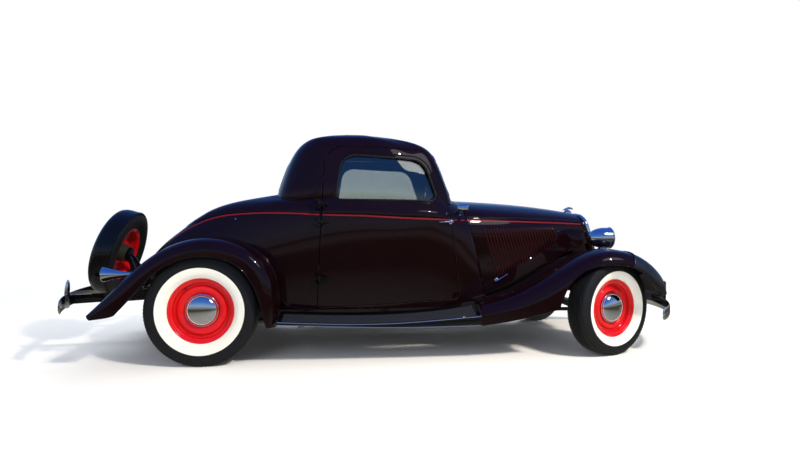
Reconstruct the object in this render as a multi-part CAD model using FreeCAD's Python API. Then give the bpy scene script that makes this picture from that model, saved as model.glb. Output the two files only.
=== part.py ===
"""Three-window coupe of the early nineteen-thirties, with its spare wheel on the tail.

Millimetres. X points forward, Y to the car's left, Z up. Sizes along X are given from the middle of the
wheelbase, and every piece is moved at the end so that the origin lies under the middle of the whole car.
The front wheels are turned to the left, as the car stands.
"""
import FreeCAD, Part
import math
import os

V = FreeCAD.Vector
X_AXIS = V(1, 0, 0)
Y_AXIS = V(0, 1, 0)
Z_AXIS = V(0, 0, 1)

# Driving sizes
WHEELBASE = 2845.0
FRONT_TRACK = 1402.0
REAR_TRACK = 1440.0
FRONT_REACH = 2243.0
REAR_REACH = 2494.0
STEER_AT_REST = 23.0
KINGPIN_OFFSET = 105.0
RUN_GAP = 6.0
PIN_GAP = 1.0

FRONT_X = WHEELBASE / 2
REAR_X = -WHEELBASE / 2
KINGPIN_Y = FRONT_TRACK / 2 - KINGPIN_OFFSET
ORIGIN_SHIFT = (REAR_REACH - FRONT_REACH) / 2

# Body shell
WALL = 45.0
ROOF_WALL = 26.0
FLOOR_THICKNESS = 16.0
SILL_Z = 345.0
MID_X = -450.0
COWL_X = 230.0
GLASS_INSET = 20.0
GLASS_THICKNESS = 6.0

# Wheels: tyre radius, half width of the tyre, flange radius, bead radius, flange offset from the centre plane
FRONT_WHEEL = dict(tyre=342.0, half=88.0, flange=208.6, bead=191.0, out=59.0)
REAR_WHEEL = dict(tyre=373.0, half=100.0, flange=220.0, bead=203.0, out=67.0)
CAP_RADIUS = 112.0
CAP_OUT = 34.0
CAP_RISE = 46.0
DRUM_RADIUS = 152.0
HUB_BORE = 19.0

# Panels that move
HINGE_X = -640.0
HINGE_OUT = 36.0
LID_FRONT_X = -1050.0
LID_REAR_X = -1900.0
HOOD_SHEET = 10.0
FENDER_SHEET = 8.0
COVER_SHEET = 3.0


def box(x0, x1, y0, y1, z0, z1):
    """Block between two corners."""
    return Part.makeBox(x1 - x0, y1 - y0, z1 - z0, V(x0, y0, z0))


def rod(start, end, radius):
    """Round bar between two points."""
    direction = end - start
    return Part.makeCylinder(radius, direction.Length, start, direction)


def mirrored(shape):
    """The same piece on the right side of the car."""
    return shape.mirror(V(0, 0, 0), Y_AXIS)


def pair(shape):
    """A piece of the left side with its twin on the right."""
    return [shape, mirrored(shape)]


def fused(shapes):
    """One solid out of several that overlap."""
    shapes = list(shapes)
    return shapes[0].multiFuse(shapes[1:]).removeSplitter()


def rounded_wire(corners, to_3d):
    """Closed outline of straight runs joined by tangent arcs. Each corner is (u, v, radius)."""
    count = len(corners)
    ends = []
    for i, (u, v, radius) in enumerate(corners):
        here = V(u, v, 0)
        back = V(corners[i - 1][0], corners[i - 1][1], 0) - here
        ahead = V(corners[(i + 1) % count][0], corners[(i + 1) % count][1], 0) - here
        half = back.getAngle(ahead) / 2
        cut = min(radius / math.tan(half), 0.49 * back.Length, 0.49 * ahead.Length)
        true_radius = cut * math.tan(half)
        middle = (back.normalize() + ahead.normalize()).normalize()
        apex = here + middle * (true_radius / math.sin(half) - true_radius)
        ends.append((here + back * cut, apex, here + ahead * cut, radius > 0))
    edges = []
    for i, (start, apex, end, is_round) in enumerate(ends):
        if is_round:
            edges.append(Part.Arc(to_3d(start), to_3d(apex), to_3d(end)).toShape())
        edges.append(Part.LineSegment(to_3d(end), to_3d(ends[(i + 1) % count][0])).toShape())
    return Part.Wire(edges)


def side_prism(corners, y0, y1):
    """Side view outline, in X and Z, drawn out from y0 to y1."""
    wire = rounded_wire(corners, lambda p: V(p.x, y0, p.y))
    return Part.Face(wire).extrude(V(0, y1 - y0, 0))


def front_prism(corners, x0, x1):
    """Front view outline, in Y and Z, drawn out from x0 to x1."""
    wire = rounded_wire(corners, lambda p: V(x0, p.x, p.y))
    return Part.Face(wire).extrude(V(x1 - x0, 0, 0))


def plan_prism(corners, z0, z1):
    """Top view outline, in X and Y, drawn up from z0 to z1."""
    wire = rounded_wire(corners, lambda p: V(p.x, p.y, z0))
    return Part.Face(wire).extrude(V(0, 0, z1 - z0))


def turned_y(profile, centre):
    """Solid turned about a line along Y. The profile has (distance along +Y, radius)."""
    points = [V(centre.x, centre.y + out, centre.z + radius) for out, radius in profile]
    face = Part.Face(Part.makePolygon(points + [points[0]]))
    return face.revolve(centre, Y_AXIS, 360)


def turned_x(profile, centre):
    """Solid turned about a line along X. The profile has (distance along +X, radius)."""
    points = [V(centre.x + out, centre.y, centre.z + radius) for out, radius in profile]
    face = Part.Face(Part.makePolygon(points + [points[0]]))
    return face.revolve(centre, X_AXIS, 360)


def save(name, shapes):
    """Write one sub-part, moved to the car's own origin."""
    solids = []
    for shape in shapes:
        moved = shape.copy()
        moved.translate(V(ORIGIN_SHIFT, 0, 0))
        solids.extend(moved.Solids)
    result = solids[0] if len(solids) == 1 else Part.makeCompound(solids)
    result.exportStep(os.path.join("parts", name + ".step"))


# Body shell: level outlines of the lower body, from the sill up to the deck and the cowl's top.
# z, x of the cowl's front, half width there, half width at the cowl's back, half width at the door,
# x of the tail, half width at the tail
LOWER_LEVELS = [
    (SILL_Z, 600.0, 500.0, 574.0, 628.0, -1985.0, 400.0),
    (600.0, 556.0, 508.0, 592.0, 652.0, -1965.0, 425.0),
    (800.0, 508.0, 512.0, 602.0, 662.0, -1820.0, 450.0),
    (950.0, 462.0, 500.0, 600.0, 660.0, -1630.0, 470.0),
    (1040.0, 437.0, 440.0, 586.0, 650.0, -1500.0, 480.0),
    (1100.0, 424.0, 330.0, 566.0, 636.0, -1355.0, 475.0),
    (1143.0, 362.0, 220.0, 540.0, 622.0, -1165.0, 450.0),
    (1172.0, 262.0, 160.0, 480.0, 606.0, -1000.0, 430.0),
]
# Upper body, from inside the belt up to the roof: z, x of the front, half width there, x of the back,
# half width at the door
UPPER_LEVELS = [
    (1100.0, 372.0, 556.0, -1004.0, 630.0),
    (1250.0, 322.0, 530.0, -962.0, 606.0),
    (1400.0, 266.0, 508.0, -906.0, 581.0),
    (1500.0, 205.0, 488.0, -850.0, 560.0),
    (1560.0, 100.0, 462.0, -790.0, 530.0),
    (1600.0, -85.0, 420.0, -690.0, 482.0),
    (1624.0, -220.0, 345.0, -560.0, 400.0),
    (1638.0, -330.0, 200.0, -450.0, 230.0),
]


def circle_y(x, p0, p1, p2):
    """Y on the arc through three (x, y) points, at this x."""
    curve = Part.Arc(V(*p0, 0), V(*p1, 0), V(*p2, 0)).toShape().Curve
    radius = curve.Radius
    return curve.Center.y + math.sqrt(max(radius ** 2 - (x - curve.Center.x) ** 2, 0.0))


def tail_corner(x_tail):
    """X at which the body's side turns into its tail."""
    return x_tail + 150.0


def body_side_y(x, z):
    """Half width of the lower body at a place on its side."""
    for low, high in zip(LOWER_LEVELS, LOWER_LEVELS[1:]):
        if low[0] <= z <= high[0]:
            share = (z - low[0]) / (high[0] - low[0])
            _, x_front, w_front, w_cowl, w_door, x_tail, w_tail = [a + (b - a) * share for a, b in zip(low, high)]
            if x > COWL_X:
                middle = ((x_front + COWL_X) / 2, cowl_bulge(w_front, w_cowl))
                return circle_y(x, (x_front, w_front), middle, (COWL_X, w_cowl))
            return circle_y(x, (COWL_X, w_cowl), (MID_X, w_door), (tail_corner(x_tail), w_tail))
    raise ValueError("the height is off the body's side")


def cowl_bulge(w_front, w_cowl):
    """Half width in the middle of the cowl's flank."""
    return (w_front + w_cowl) / 2 + 0.12 * (w_cowl - w_front)


def lower_outline(z, x_front, w_front, w_cowl, w_door, x_tail, w_tail):
    """Level outline of the lower body: flat front, bowed sides, rounded tail."""
    front = V(x_front, w_front, z)
    flank = V((x_front + COWL_X) / 2, cowl_bulge(w_front, w_cowl), z)
    cowl = V(COWL_X, w_cowl, z)
    side = V(MID_X, w_door, z)
    corner = V(tail_corner(x_tail), w_tail, z)
    turn = V(x_tail + 45.0, w_tail * 0.86, z)
    back = V(x_tail + 12.0, w_tail * 0.62, z)
    tail = V(x_tail, 0, z)
    left = [front, flank, cowl, side, corner, turn, back]
    right = [V(p.x, -p.y, z) for p in left]
    edges = [Part.LineSegment(right[0], left[0]).toShape()]
    edges += [Part.Arc(left[i], left[i + 1], left[i + 2]).toShape() for i in (0, 2, 4)]
    edges.append(Part.Arc(left[6], tail, right[6]).toShape())
    edges += [Part.Arc(right[i], right[i - 1], right[i - 2]).toShape() for i in (6, 4, 2)]
    return Part.Wire(edges)


def upper_outline(z, x_front, w_front, x_back, w_door):
    """Level outline of the upper body: bowed sides, tight front corners and wide back corners."""
    bow = 0.035 * w_door
    length = x_front - x_back
    front_turn = min(0.11 * length, 0.2 * w_door)
    back_turn = min(0.2 * length, 0.4 * w_door)
    mid_x = (x_front + x_back) / 2
    round_off = 0.29
    w_back = w_door - bow
    left = [
        V(x_front - bow, w_front - front_turn, z),
        V(x_front - bow - round_off * front_turn, w_front - round_off * front_turn, z),
        V(x_front - bow - front_turn, w_front, z),
        V(mid_x, w_door, z),
        V(x_back + bow + back_turn, w_back, z),
        V(x_back + bow + round_off * back_turn, w_back - round_off * back_turn, z),
        V(x_back + bow, w_back - back_turn, z),
    ]
    right = [V(p.x, -p.y, z) for p in left]
    edges = [Part.Arc(right[0], V(x_front, 0, z), left[0]).toShape()]
    edges += [Part.Arc(left[i], left[i + 1], left[i + 2]).toShape() for i in (0, 2, 4)]
    edges.append(Part.Arc(left[6], V(x_back, 0, z), right[6]).toShape())
    edges += [Part.Arc(right[i], right[i - 1], right[i - 2]).toShape() for i in (6, 4, 2)]
    return Part.Wire(edges)


def lower_form(inset, lowered, bottom):
    """Closed form of the lower body, smaller by an inset all round."""
    rows = []
    for z, x_front, w_front, w_cowl, w_door, x_tail, w_tail in LOWER_LEVELS:
        level = bottom if z == SILL_Z else z - lowered
        narrow = max(w_front - inset, 0.4 * w_front)
        rows.append((level, x_front - inset, narrow, w_cowl - inset, w_door - inset, x_tail + inset, w_tail - inset))
    return Part.makeLoft([lower_outline(*row) for row in rows], True, True)


def upper_form(inset, lowered):
    """Closed form of the upper body, smaller by an inset all round."""
    rows = []
    for z, x_front, w_front, x_back, w_door in UPPER_LEVELS:
        if w_door - inset > 200.0:
            rows.append((z - lowered, x_front - inset, w_front - inset, x_back + inset, w_door - inset))
    return Part.makeLoft([upper_outline(*row) for row in rows], True, True)


def body_outer():
    """The whole body as one closed form."""
    return lower_form(0.0, 0.0, SILL_Z).fuse(upper_form(0.0, 0.0))


def body_inner():
    """The room inside the body: the same levels, smaller by the wall."""
    return lower_form(WALL, ROOF_WALL, SILL_Z + FLOOR_THICKNESS).fuse(upper_form(WALL, ROOF_WALL))


# Openings in the body, as side views: x, z, corner radius
DOOR_OUTLINE = [(-655.0, 362.0, 30.0), (-603.0, 1522.0, 150.0), (140.0, 1500.0, 130.0), (300.0, 1170.0, 250.0),
                (396.0, 402.0, 60.0)]
SIDE_GLASS = [(-527.0, 1136.0, 25.0), (-478.0, 1456.0, 110.0), (118.0, 1422.0, 130.0), (222.0, 1128.0, 28.0)]
# Front and back windows, as front views: y, z, corner radius
WINDSHIELD = [(-448.0, 1186.0, 40.0), (-408.0, 1462.0, 60.0), (408.0, 1462.0, 60.0), (448.0, 1186.0, 40.0)]
BACK_GLASS = [(-300.0, 1215.0, 50.0), (-280.0, 1400.0, 60.0), (280.0, 1400.0, 60.0), (300.0, 1215.0, 50.0)]
# Deck lid as a top view: x, y, corner radius
LID_OUTLINE = [(LID_FRONT_X, -410.0, 60.0), (LID_REAR_X, -330.0, 90.0), (LID_REAR_X, 330.0, 90.0),
               (LID_FRONT_X, 410.0, 60.0)]


def grown(corners, amount):
    """The outline moved outwards by an amount, or inwards if it is negative."""
    count = len(corners)
    centre_u = sum(c[0] for c in corners) / count
    centre_v = sum(c[1] for c in corners) / count
    result = []
    for i, (u, v, radius) in enumerate(corners):
        here = V(u, v, 0)
        back = (V(corners[i - 1][0], corners[i - 1][1], 0) - here).normalize()
        ahead = (V(corners[(i + 1) % count][0], corners[(i + 1) % count][1], 0) - here).normalize()
        outward = (back + ahead).normalize() * -1
        if outward.dot(here - V(centre_u, centre_v, 0)) < 0:
            outward = outward * -1
        half = back.getAngle(ahead) / 2
        place = here + outward * (amount / math.sin(half))
        result.append((place.x, place.y, max(radius + amount, 2.0)))
    return result


def door_sweep(extra):
    """Solid turned about the door hinge, whose rim follows the door's front edge."""
    hinge = V(HINGE_X, door_hinge_y(), 0)
    top_z = 1560.0
    low_z = 300.0
    low_reach = 400.0 - HINGE_X + extra
    mid_reach = 300.0 - HINGE_X + extra
    points = [V(0, 0, low_z), V(low_reach + 6.0, 0, low_z), V(mid_reach, 0, 1170.0), V(mid_reach, 0, top_z),
              V(0, 0, top_z)]
    placed = [V(hinge.x + p.x, hinge.y, p.z) for p in points]
    face = Part.Face(Part.makePolygon(placed + [placed[0]]))
    return face.revolve(hinge, Z_AXIS, 360)


def door_hinge_y():
    """The hinge line stands just outside the widest place of the body's side."""
    return body_side_y(HINGE_X, 800.0) + HINGE_OUT


def side_opening(extra):
    """Space of one door, with a margin round it."""
    side = side_prism(grown(DOOR_OUTLINE, extra), 380.0, 760.0)
    return side.common(door_sweep(extra))


def wheel_house():
    """Room for a back wheel inside the body."""
    radius = REAR_WHEEL["tyre"] + 50.0
    return Part.makeCylinder(radius, 300.0, V(REAR_X, LINER_Y + LINER_SHEET, REAR_WHEEL["tyre"]), Y_AXIS)


def windows():
    """Cutters of the windshield and the back window."""
    return [front_prism(WINDSHIELD, 60.0, 480.0), front_prism(BACK_GLASS, -1100.0, -780.0)]


UNDERSIDE = [(-960.0, 200.0, 0.0), (-960.0, 640.0, 60.0), (-1840.0, 640.0, 40.0), (-1895.0, 490.0, 30.0),
             (-2200.0, 490.0, 0.0), (-2200.0, 200.0, 0.0)]
LINER_Y = 547.0
LINER_SHEET = 8.0


def body_shell(outer, inner):
    """Body with its openings cut: doors, windows, deck, wheel houses and the underside at the back."""
    shell = outer.cut(inner)
    lid_hole = plan_prism(grown(LID_OUTLINE, RUN_GAP), 620.0, 1250.0)
    cutters = windows() + [lid_hole, side_prism(UNDERSIDE, -LINER_Y - LINER_SHEET, LINER_Y + LINER_SHEET)]
    cutters += pair(side_opening(RUN_GAP)) + pair(wheel_house())
    cutters.append(box(-2200.0, 700.0, -900.0, 900.0, 200.0, SILL_Z))
    for cutter in cutters:
        shell = shell.cut(cutter)
    return shell


def door_panel(outer, inner):
    """One door with its window cut."""
    panel = outer.cut(inner).common(side_opening(0.0))
    return panel.cut(side_prism(SIDE_GLASS, 380.0, 760.0))


def glass_skin():
    """Thin skin that follows the upper body, from which the panes are cut."""
    return upper_form(GLASS_INSET, 0.0).cut(upper_form(GLASS_INSET + GLASS_THICKNESS, 0.0))


def door_glass(skin):
    """Pane in the left door."""
    return skin.common(side_prism(SIDE_GLASS, 300.0, 760.0))


def fixed_glass(skin):
    """Windshield and back window."""
    return [skin.common(cutter) for cutter in windows()]


HINGE_HEIGHTS = [570.0, 970.0, 1100.0]
DOOR_EDGE_RAKE = (DOOR_OUTLINE[1][0] - DOOR_OUTLINE[0][0]) / (DOOR_OUTLINE[1][1] - DOOR_OUTLINE[0][1])


def hinge_pins():
    """Hinge pins and their brackets on the body's side."""
    y = door_hinge_y()
    pieces = []
    for z in HINGE_HEIGHTS:
        pin = rod(V(HINGE_X, y, z - 32.0), V(HINGE_X, y, z + 32.0), 5.0)
        low = rod(V(HINGE_X, y, z - 32.0), V(HINGE_X, y, z - 16.0), 10.0)
        high = rod(V(HINGE_X, y, z + 16.0), V(HINGE_X, y, z + 32.0), 10.0)
        leaf_y = body_side_y(HINGE_X - 30.0, z) - 6.0
        arm_low = box(HINGE_X - 34.0, HINGE_X - 4.0, leaf_y, y + 6.0, z - 32.0, z - 16.0)
        arm_high = box(HINGE_X - 34.0, HINGE_X - 4.0, leaf_y, y + 6.0, z + 16.0, z + 32.0)
        pieces.append(fused([pin, low, high, arm_low, arm_high]))
    return pieces


def hinge_straps():
    """Knuckle of each hinge on the door."""
    y = door_hinge_y()
    pieces = []
    for z in HINGE_HEIGHTS:
        barrel = rod(V(HINGE_X, y, z - 15.0), V(HINGE_X, y, z + 15.0), 10.0)
        skin_y = body_side_y(HINGE_X + 60.0, z)
        edge_x = DOOR_OUTLINE[0][0] + (z - DOOR_OUTLINE[0][1]) * DOOR_EDGE_RAKE
        strap = box(HINGE_X + 4.0, HINGE_X + 70.0, skin_y + RUN_GAP, y + 4.0, z - 15.0, z + 15.0)
        pad = box(edge_x + RUN_GAP, HINGE_X + 70.0, skin_y - RUN_GAP, skin_y + 2 * RUN_GAP, z - 15.0, z + 15.0)
        bore = rod(V(HINGE_X, y, z - 20.0), V(HINGE_X, y, z + 20.0), 5.0 + PIN_GAP)
        pieces.append(fused([barrel, strap, pad]).cut(bore))
    return pieces


def door_hardware(door):
    """Chrome pull handle and the hinge straps of one door."""
    handle_z = 968.0
    seat_y = body_side_y(312.0, handle_z)
    post = rod(V(312.0, seat_y - 12.0, handle_z), V(312.0, seat_y + 34.0, handle_z), 9.0)
    grip = rod(V(322.0, seat_y + 34.0, handle_z), V(222.0, seat_y + 44.0, handle_z), 8.0)
    end = Part.makeSphere(11.0, V(222.0, seat_y + 44.0, handle_z))
    handle = fused([post, grip, end]).cut(door)
    straps = [strap.cut(door) for strap in hinge_straps()]
    return [handle] + straps


def lid_panel(outer, inner):
    """Deck lid over the luggage room."""
    return outer.cut(inner).common(plan_prism(LID_OUTLINE, 620.0, 1250.0))


# Hood: cross-sections of the left half.
# x, z of the middle, y and z of the shoulder, y and z of the side, y and z of the lower edge
HOOD_SECTIONS = [
    (380.0, 1137.0, 330.0, 1100.0, 500.0, 950.0, 500.0, 400.0),
    (700.0, 1121.0, 322.0, 1072.0, 458.0, 930.0, 466.0, 470.0),
    (1075.0, 1090.0, 262.0, 1042.0, 368.0, 925.0, 376.0, 632.0),
    (1452.0, 1038.0, 172.0, 1004.0, 238.0, 930.0, 250.0, 772.0),
    (1540.0, 1024.0, 150.0, 992.0, 214.0, 920.0, 228.0, 806.0),
]
HOOD_BACK = [(300.0, 1300.0), (411.0, 1172.0), (419.0, 1122.0), (437.0, 1040.0), (462.0, 950.0), (508.0, 800.0),
             (556.0, 600.0), (600.0, 345.0), (600.0, 200.0), (300.0, 200.0)]
NOSE_X = 1440.0
NOSE_Z = 1040.0
NOSE_RAKE = 0.295
LOUVRE_COUNT = 24
LOUVRE_PITCH = 25.8
LOUVRE_FIRST_X = 576.0
LOUVRE_SLANT = 0.32


def hood_section(row, sheet):
    """Closed outline of the hood sheet at one place."""
    x, z_mid, y_sh, z_sh, y_side, z_side, y_low, z_low = row
    gap = RUN_GAP / 2

    def run(t):
        first = V(x, gap, z_mid - t)
        crown = V(x, y_sh * 0.55, z_mid - t - (z_mid - z_sh) * 0.28)
        shoulder = V(x, y_sh - 0.3 * t, z_sh - 0.9 * t)
        bend = V(x, (y_sh + y_side) / 2 + 0.13 * (y_side - y_sh) - 0.7 * t,
                 (z_sh + z_side) / 2 + 0.16 * (z_sh - z_side) - 0.7 * t)
        side = V(x, y_side - t, z_side)
        low = V(x, y_low - t, z_low)
        return first, crown, shoulder, bend, side, low

    o = run(0.0)
    i = run(sheet)
    edges = [
        Part.Arc(o[0], o[1], o[2]).toShape(), Part.Arc(o[2], o[3], o[4]).toShape(),
        Part.LineSegment(o[4], o[5]).toShape(), Part.LineSegment(o[5], i[5]).toShape(),
        Part.LineSegment(i[5], i[4]).toShape(), Part.Arc(i[4], i[3], i[2]).toShape(),
        Part.Arc(i[2], i[1], i[0]).toShape(), Part.LineSegment(i[0], o[0]).toShape(),
    ]
    return Part.Wire(edges)


def louvre_slots():
    """Slanted slots in the side of the hood, shorter towards the front."""
    slots = []
    for i in range(LOUVRE_COUNT):
        top_x = LOUVRE_FIRST_X + i * LOUVRE_PITCH
        top_z = 934.0 - 0.6 * i
        low_z = 566.0 + 0.26 * max(top_x - LOUVRE_FIRST_X, 0.0) + 0.00024 * (top_x - LOUVRE_FIRST_X) ** 2
        low_x = top_x + (top_z - low_z) * LOUVRE_SLANT
        half = 4.0
        corners = [(top_x - half, top_z, 0), (top_x + half, top_z, 0), (low_x + half, low_z, 0),
                   (low_x - half, low_z, 0)]
        slots.append(side_prism(corners, 180.0, 560.0))
    return slots


def nose_x(z, ahead):
    """X of the raked plane between the hood and the grille, moved ahead by a distance."""
    return NOSE_X + (NOSE_Z - z) * NOSE_RAKE + ahead


def ahead_of_nose(y0, y1):
    """All that lies in front of the hood's raked front edge."""
    low_z = 200.0
    top_z = 1300.0
    corners = [(nose_x(low_z, 0.0), low_z, 0), (nose_x(top_z, 0.0), top_z, 0), (2400.0, top_z, 0), (2400.0, low_z, 0)]
    return side_prism(corners, y0, y1)


def hood_half():
    """Left half of the hood: top, side and louvres in one panel."""
    panel = Part.makeLoft([hood_section(row, HOOD_SHEET) for row in HOOD_SECTIONS], True, True)
    back = [(x + RUN_GAP if 300.0 < x else x, z, 0) for x, z in HOOD_BACK]
    panel = panel.cut(side_prism(back, -50.0, 700.0))
    panel = panel.cut(ahead_of_nose(-50.0, 700.0))
    panel = panel.cut(Part.makeCompound(louvre_slots()))
    latch_y = 474.0
    latch = fused([rod(V(690.0, latch_y - 14.0, 528.0), V(690.0, latch_y + 24.0, 528.0), 9.0),
                   rod(V(668.0, latch_y + 24.0, 516.0), V(756.0, latch_y + 24.0, 564.0), 7.0)])
    return panel.fuse(latch)


# Front fender: stations along its crown on the left side.
# x, z of the crown, tilt of its normal towards the front, y and drop of the root, y of the outer edge,
# drop of the crease, drop of the lower edge
FRONT_FENDER = [
    (478.0, 398.0, 0.0, 470.0, 6.0, 845.0, 78.0, 148.0),
    (733.0, 466.0, 0.0, 440.0, 8.0, 852.0, 98.0, 178.0),
    (957.0, 574.0, 0.0, 400.0, 14.0, 855.0, 122.0, 236.0),
    (1175.0, 694.0, 0.0, 352.0, 30.0, 855.0, 106.0, 300.0),
    (1336.0, 757.0, 0.0, 310.0, 48.0, 855.0, 78.0, 300.0),
    (1513.0, 765.0, 10.0, 285.0, 62.0, 855.0, 78.0, 200.0),
    (1661.0, 722.0, 28.0, 290.0, 74.0, 855.0, 80.0, 150.0),
    (1780.0, 637.0, 43.0, 340.0, 80.0, 850.0, 74.0, 112.0),
    (1850.0, 545.0, 56.0, 420.0, 70.0, 835.0, 56.0, 76.0),
    (1889.0, 452.0, 68.0, 520.0, 34.0, 800.0, 26.0, 34.0),
]
FRONT_CROWN_Y = 690.0
# Back fender, from its front end over the wheel to the tail
REAR_FENDER = [
    (-922.0, 262.0, 91.0, 560.0, 6.0, 862.0, 62.0, 70.0),
    (-922.0, 420.0, 86.0, 560.0, 6.0, 862.0, 72.0, 112.0),
    (-950.0, 600.0, 68.0, 560.0, 6.0, 862.0, 74.0, 122.0),
    (-1040.0, 740.0, 47.0, 560.0, 6.0, 862.0, 76.0, 130.0),
    (-1190.0, 830.0, 24.0, 545.0, 6.0, 862.0, 78.0, 140.0),
    (-1406.0, 863.0, 0.0, 500.0, 4.0, 862.0, 78.0, 150.0),
    (-1637.0, 805.0, -26.0, 440.0, 4.0, 862.0, 78.0, 150.0),
    (-1866.0, 641.0, -42.0, 380.0, 10.0, 862.0, 78.0, 140.0),
    (-2030.0, 478.0, -45.0, 380.0, 20.0, 855.0, 66.0, 92.0),
    (-2148.0, 362.0, -46.0, 440.0, 16.0, 835.0, 30.0, 40.0),
]
REAR_CROWN_Y = 752.0


def fender_section(row, crown_y, outside, inside):
    """Closed outline of a fender sheet at one station, between two offsets from its outer face."""
    x, z, tilt, y_root, d_root, y_out, d_crease, d_low = row
    lean_x = math.sin(math.radians(tilt))
    lean_z = math.cos(math.radians(tilt))

    def place(y, drop):
        return V(x - drop * lean_x, y, z - drop * lean_z)

    def run(t):
        return [
            place(y_root, d_root + t), place((y_root + crown_y) / 2, d_root * 0.28 + t), place(crown_y, t),
            place(crown_y + (y_out - t - crown_y) * 0.72, d_crease * 0.3 + t * 0.8),
            place(y_out - t, d_crease + t * 0.2), place(y_out - t, d_low),
        ]

    o = run(outside)
    i = run(inside)
    edges = [
        Part.Arc(o[0], o[1], o[2]).toShape(), Part.Arc(o[2], o[3], o[4]).toShape(),
        Part.LineSegment(o[4], o[5]).toShape(), Part.LineSegment(o[5], i[5]).toShape(),
        Part.LineSegment(i[5], i[4]).toShape(), Part.Arc(i[4], i[3], i[2]).toShape(),
        Part.Arc(i[2], i[1], i[0]).toShape(), Part.LineSegment(i[0], o[0]).toShape(),
    ]
    return Part.Wire(edges)


def arch_cutter(points, y0, y1):
    """Wheel opening as a side view of three arcs, drawn out along Y."""
    p = [V(x, y0, z) for x, z in points]
    edges = [
        Part.Arc(p[0], p[1], p[2]).toShape(), Part.Arc(p[2], p[3], p[4]).toShape(),
        Part.Arc(p[4], p[5], p[6]).toShape(), Part.LineSegment(p[6], p[7]).toShape(),
        Part.LineSegment(p[7], p[8]).toShape(), Part.LineSegment(p[8], p[0]).toShape(),
    ]
    return Part.Face(Part.Wire(edges)).extrude(V(0, y1 - y0, 0))


# Side views of the wheel openings: three arcs from the back to the front, then two corners below
FRONT_ARCH = [(1040.0, 372.0), (1100.0, 515.0), (1230.0, 628.0), (1415.0, 664.0), (1590.0, 640.0),
              (1720.0, 540.0), (1840.0, 380.0), (1840.0, 100.0), (1040.0, 100.0)]
REAR_ARCH = [(-1990.0, 330.0), (-1830.0, 500.0), (-1640.0, 680.0), (-1405.0, 745.0), (-1180.0, 686.0),
             (-1050.0, 510.0), (-985.0, 280.0), (-985.0, 100.0), (-1990.0, 100.0)]


def front_fender(body):
    """Left front fender."""
    sections = [fender_section(row, FRONT_CROWN_Y, 0.0, FENDER_SHEET) for row in FRONT_FENDER]
    sheet = Part.makeLoft(sections, True, True)
    return sheet.cut(arch_cutter(FRONT_ARCH, 700.0, 900.0)).cut(body)


def fender_cover():
    """Soft cover over the nose of the left front fender."""
    rows = [row for row in FRONT_FENDER if row[0] > 1600.0]
    sections = [fender_section(row, FRONT_CROWN_Y, -COVER_SHEET - 0.3, -0.3) for row in rows]
    sheet = Part.makeLoft(sections, True, True)
    return sheet.cut(arch_cutter(FRONT_ARCH, 700.0, 900.0))


def rear_fender(body):
    """Left back fender."""
    sections = [fender_section(row, REAR_CROWN_Y, 0.0, FENDER_SHEET) for row in REAR_FENDER]
    sheet = Part.makeLoft(sections, True, True)
    beside_rail = box(-2300.0, -1700.0, 300.0, RAIL_OUT + RUN_GAP, 200.0, 560.0)
    return sheet.cut(arch_cutter(REAR_ARCH, 700.0, 900.0)).cut(body).cut(beside_rail)


# Running board: x, z of the outer edge, z of the inner edge, z of the lower edge
BOARD_SECTIONS = [(-912.0, 302.0, 334.0, 276.0), (-540.0, 284.0, 320.0, 260.0), (-120.0, 282.0, 321.0, 246.0),
                  (204.0, 300.0, 344.0, 246.0), (470.0, 320.0, 388.0, 250.0)]
BOARD_SHEET = 12.0
BOARD_INNER_Y = 600.0
BOARD_OUTER_Y = 845.0


def running_board(body):
    """Left running board with its turned-down edge."""
    wires = []
    for x, z_out, z_in, z_low in BOARD_SECTIONS:
        t = BOARD_SHEET
        corners = [(BOARD_INNER_Y, z_in), (BOARD_OUTER_Y - 12.0, z_out), (BOARD_OUTER_Y, z_out - 10.0),
                   (BOARD_OUTER_Y, z_low), (BOARD_OUTER_Y - t, z_low), (BOARD_OUTER_Y - t, z_out - 16.0),
                   (BOARD_OUTER_Y - t - 12.0, z_out - t), (BOARD_INNER_Y, z_in - t)]
        points = [V(x, y, z) for y, z in corners]
        wires.append(Part.makePolygon(points + [points[0]]))
    board = Part.makeLoft(wires, True, True)
    return board.cut(body).Solids[0]


# Chassis
RAIL_IN = 350.0
RAIL_OUT = 410.0
# Side view of a rail, from the front horn round to the tail: x, z, corner radius
RAIL_OUTLINE = [(1960.0, 405.0, 10.0), (1640.0, 520.0, 200.0), (1230.0, 520.0, 200.0), (930.0, 400.0, 200.0),
                (640.0, SILL_Z, 200.0), (-1010.0, SILL_Z, 60.0), (-1190.0, 636.0, 80.0), (-1640.0, 636.0, 150.0),
                (-1900.0, 480.0, 80.0), (-2060.0, 462.0, 10.0), (-2060.0, 392.0, 10.0), (-1900.0, 402.0, 80.0),
                (-1650.0, 540.0, 150.0), (-1240.0, 540.0, 60.0), (-1050.0, 235.0, 60.0), (560.0, 235.0, 300.0),
                (960.0, 300.0, 200.0), (1230.0, 430.0, 150.0), (1620.0, 430.0, 150.0), (1960.0, 340.0, 10.0)]
# Cross members: x of the back, x of the front, z of the bottom, z of the top
CROSS_MEMBERS = [(1250.0, 1300.0, 440.0, 500.0), (FRONT_X - 50.0, FRONT_X + 50.0, 480.0, 520.0),
                 (1560.0, 1610.0, 440.0, 462.0), (350.0, 410.0, 240.0, 262.0), (-1600.0, -1540.0, 560.0, 612.0),
                 (-2055.0, -2015.0, 400.0, 450.0)]
TRUNK_FLOOR_Z = 640.0
TRUNK_SHEET = 12.0
FLOOR_MARGIN = 14.0
ENGINE = dict(x0=640.0, x1=1250.0, half=225.0, z0=300.0, z1=850.0)
HITCH_SPACING = 480.0
HITCH_HOLE = 6.5
HITCH_Z = 425.0
# Bearers of the running boards: x, z of the top
BEARERS = [(-760.0, 284.5), (-150.0, 273.4), (420.0, 308.2)]


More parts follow.
